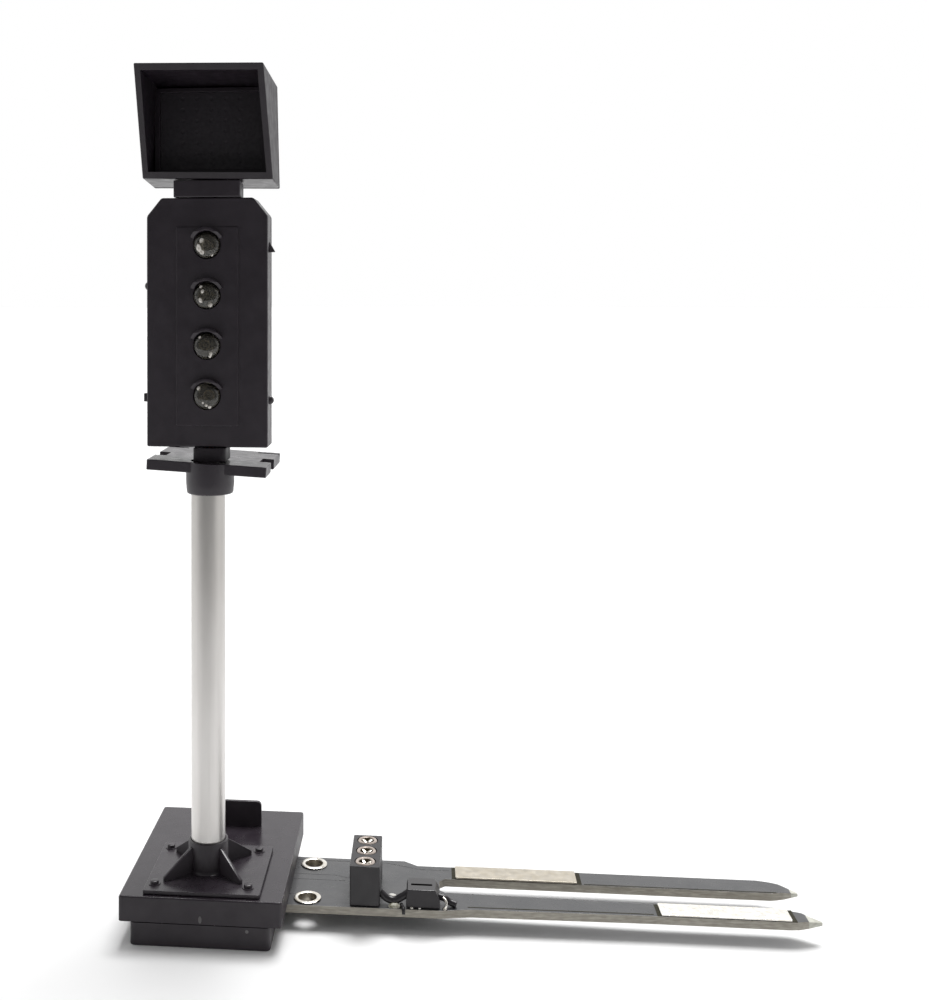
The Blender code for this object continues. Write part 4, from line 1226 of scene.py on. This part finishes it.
def paint_cad_nodes():
    """Finishes for the pieces inside, which keep their CAD shapes."""
    surfaces = {
        "controller_chip": CHIP, "bridge_rectifier": CHIP, "reservoir_capacitor": TANTALUM,
        "wire_loom": ENAMEL, "head_board": MASK, "theatre_led_matrix": CHIP, "theatre_board": MASK,
    }
    for number in range(1, 5):
        surfaces[f"led_resistor_{number}"] = CERAMIC
    for node, surface in surfaces.items():
        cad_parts[node].material_slots[0].material = surface


# --- stage

def camera():
    data = bpy.data.cameras.new("camera")
    data.sensor_width = SENSOR_WIDTH
    data.lens = SENSOR_WIDTH * FOCAL_LENGTH
    data.shift_x, data.shift_y = CAMERA_SHIFT
    data.clip_start = 0.001
    data.clip_end = 10
    obj = placed("camera", data)
    obj.location = mm(*CAMERA_AT)
    flat = math.cos(CAMERA_PITCH)
    forward = Vector((
        math.sin(CAMERA_YAW) * flat, math.cos(CAMERA_YAW) * flat, -math.sin(CAMERA_PITCH)
    ))
    obj.rotation_euler = forward.to_track_quat("-Z", "Y").to_euler()
    bpy.context.scene.camera = obj


def sun(name, aside, behind, width, strength):
    """A broad sun: degrees to the right and behind from straight above, and how wide it is."""
    data = bpy.data.lights.new(name, "SUN")
    data.angle = math.radians(width)
    data.energy = strength
    obj = placed(name, data)
    towards = Vector((math.tan(math.radians(aside)), math.tan(math.radians(behind)), 1))
    obj.location = towards * 0.2
    obj.rotation_euler = towards.to_track_quat("Z", "Y").to_euler()


def floor():
    shape = bmesh.new()
    bmesh.ops.create_circle(shape, cap_ends=True, segments=128, radius=FLOOR_R)
    bmesh.ops.translate(shape, vec=FLOOR_CENTRE, verts=shape.verts)
    obj = to_object("table", shape)
    paper = Surface("white_paper", (0.88, 0.88, 0.88), 0.6)
    paper.roughness(paper.noise(1.5, 4), 0.55, 0.65)
    obj.data.materials.append(paper.material)


def sky():
    """White to the camera. For the light: white behind and beside, dim above and in front."""
    world = bpy.data.worlds.new("studio")
    bpy.context.scene.world = world
    world.use_nodes = True
    tree = world.node_tree
    shade = tree.nodes["Background"]
    shade.inputs["Color"].default_value = (1, 1, 1, 1)
    where = split(tree, add(tree, "TexCoord").outputs["Generated"])
    smooth = "SMOOTHSTEP"
    front = mapped(tree, where["Y"], -0.15, -0.75, 0, 1, smooth)
    above = mapped(tree, where["Z"], 0.45, 0.85, 0, 1, smooth)
    overhead = mapped(tree, above, 0, 1, 1.0, SKY_OVERHEAD, smooth)
    camera_side = mapped(tree, front, 0, 1, 1.0, SKY_CAMERA_SIDE, smooth)
    light = reckoned(tree, "MULTIPLY", overhead, camera_side)
    seen = add(tree, "LightPath").outputs["Is Camera Ray"]
    tree.links.new(reckoned(tree, "MAXIMUM", light, seen), shade.inputs["Strength"])


# --- the whole signal

def build():
    camera()
    floor()
    sky()
    sun("key", *KEY_SUN)
    bpy.context.scene.view_settings.view_transform = "Standard"

    base_lid()
    base_tray()
    mast_foot()
    contact_board()
    highlighted_marks()
    board_tracks()
    finger_dark_lines()
    for node in ("ring_pad_front", "ring_pad_rear"):
        ring_pad(node)
    rail_contact("rail_contact_near", WORN_TIN_AND_BORE_SHADE)
    rail_contact("rail_contact_far", CONTACT_TIN)
    contact_windows()
    socket_housing()
    for node in SLEEVES:
        socket_sleeve(node)
    socket_clips()
    sensor_body()
    sensor_leads()
    solder_joints()
    fluxed_joint()
    cut_leg()

    mast_tube()
    platform()
    head_neck()
    head_front()
    head_rear_cover()
    for node, (turn, reach) in LAMP_FRAMES.items():
        lamp_lens(node)
        lamp_frame(node, turn, reach)
        lamp_painted_highlights(node)
    route_piece("theatre_hood", "route_box_shell", BOX_BLACK, 0.07, 3, 40)
    route_piece("theatre_rear_cover", "route_box_back", BOX_BLACK)
    route_piece("theatre_bracket", "route_box_bracket", HEAD_BLACK, 0.05, 2, 40)
    theatre_screen()
    theatre_bezel()
    paint_cad_nodes()


build()
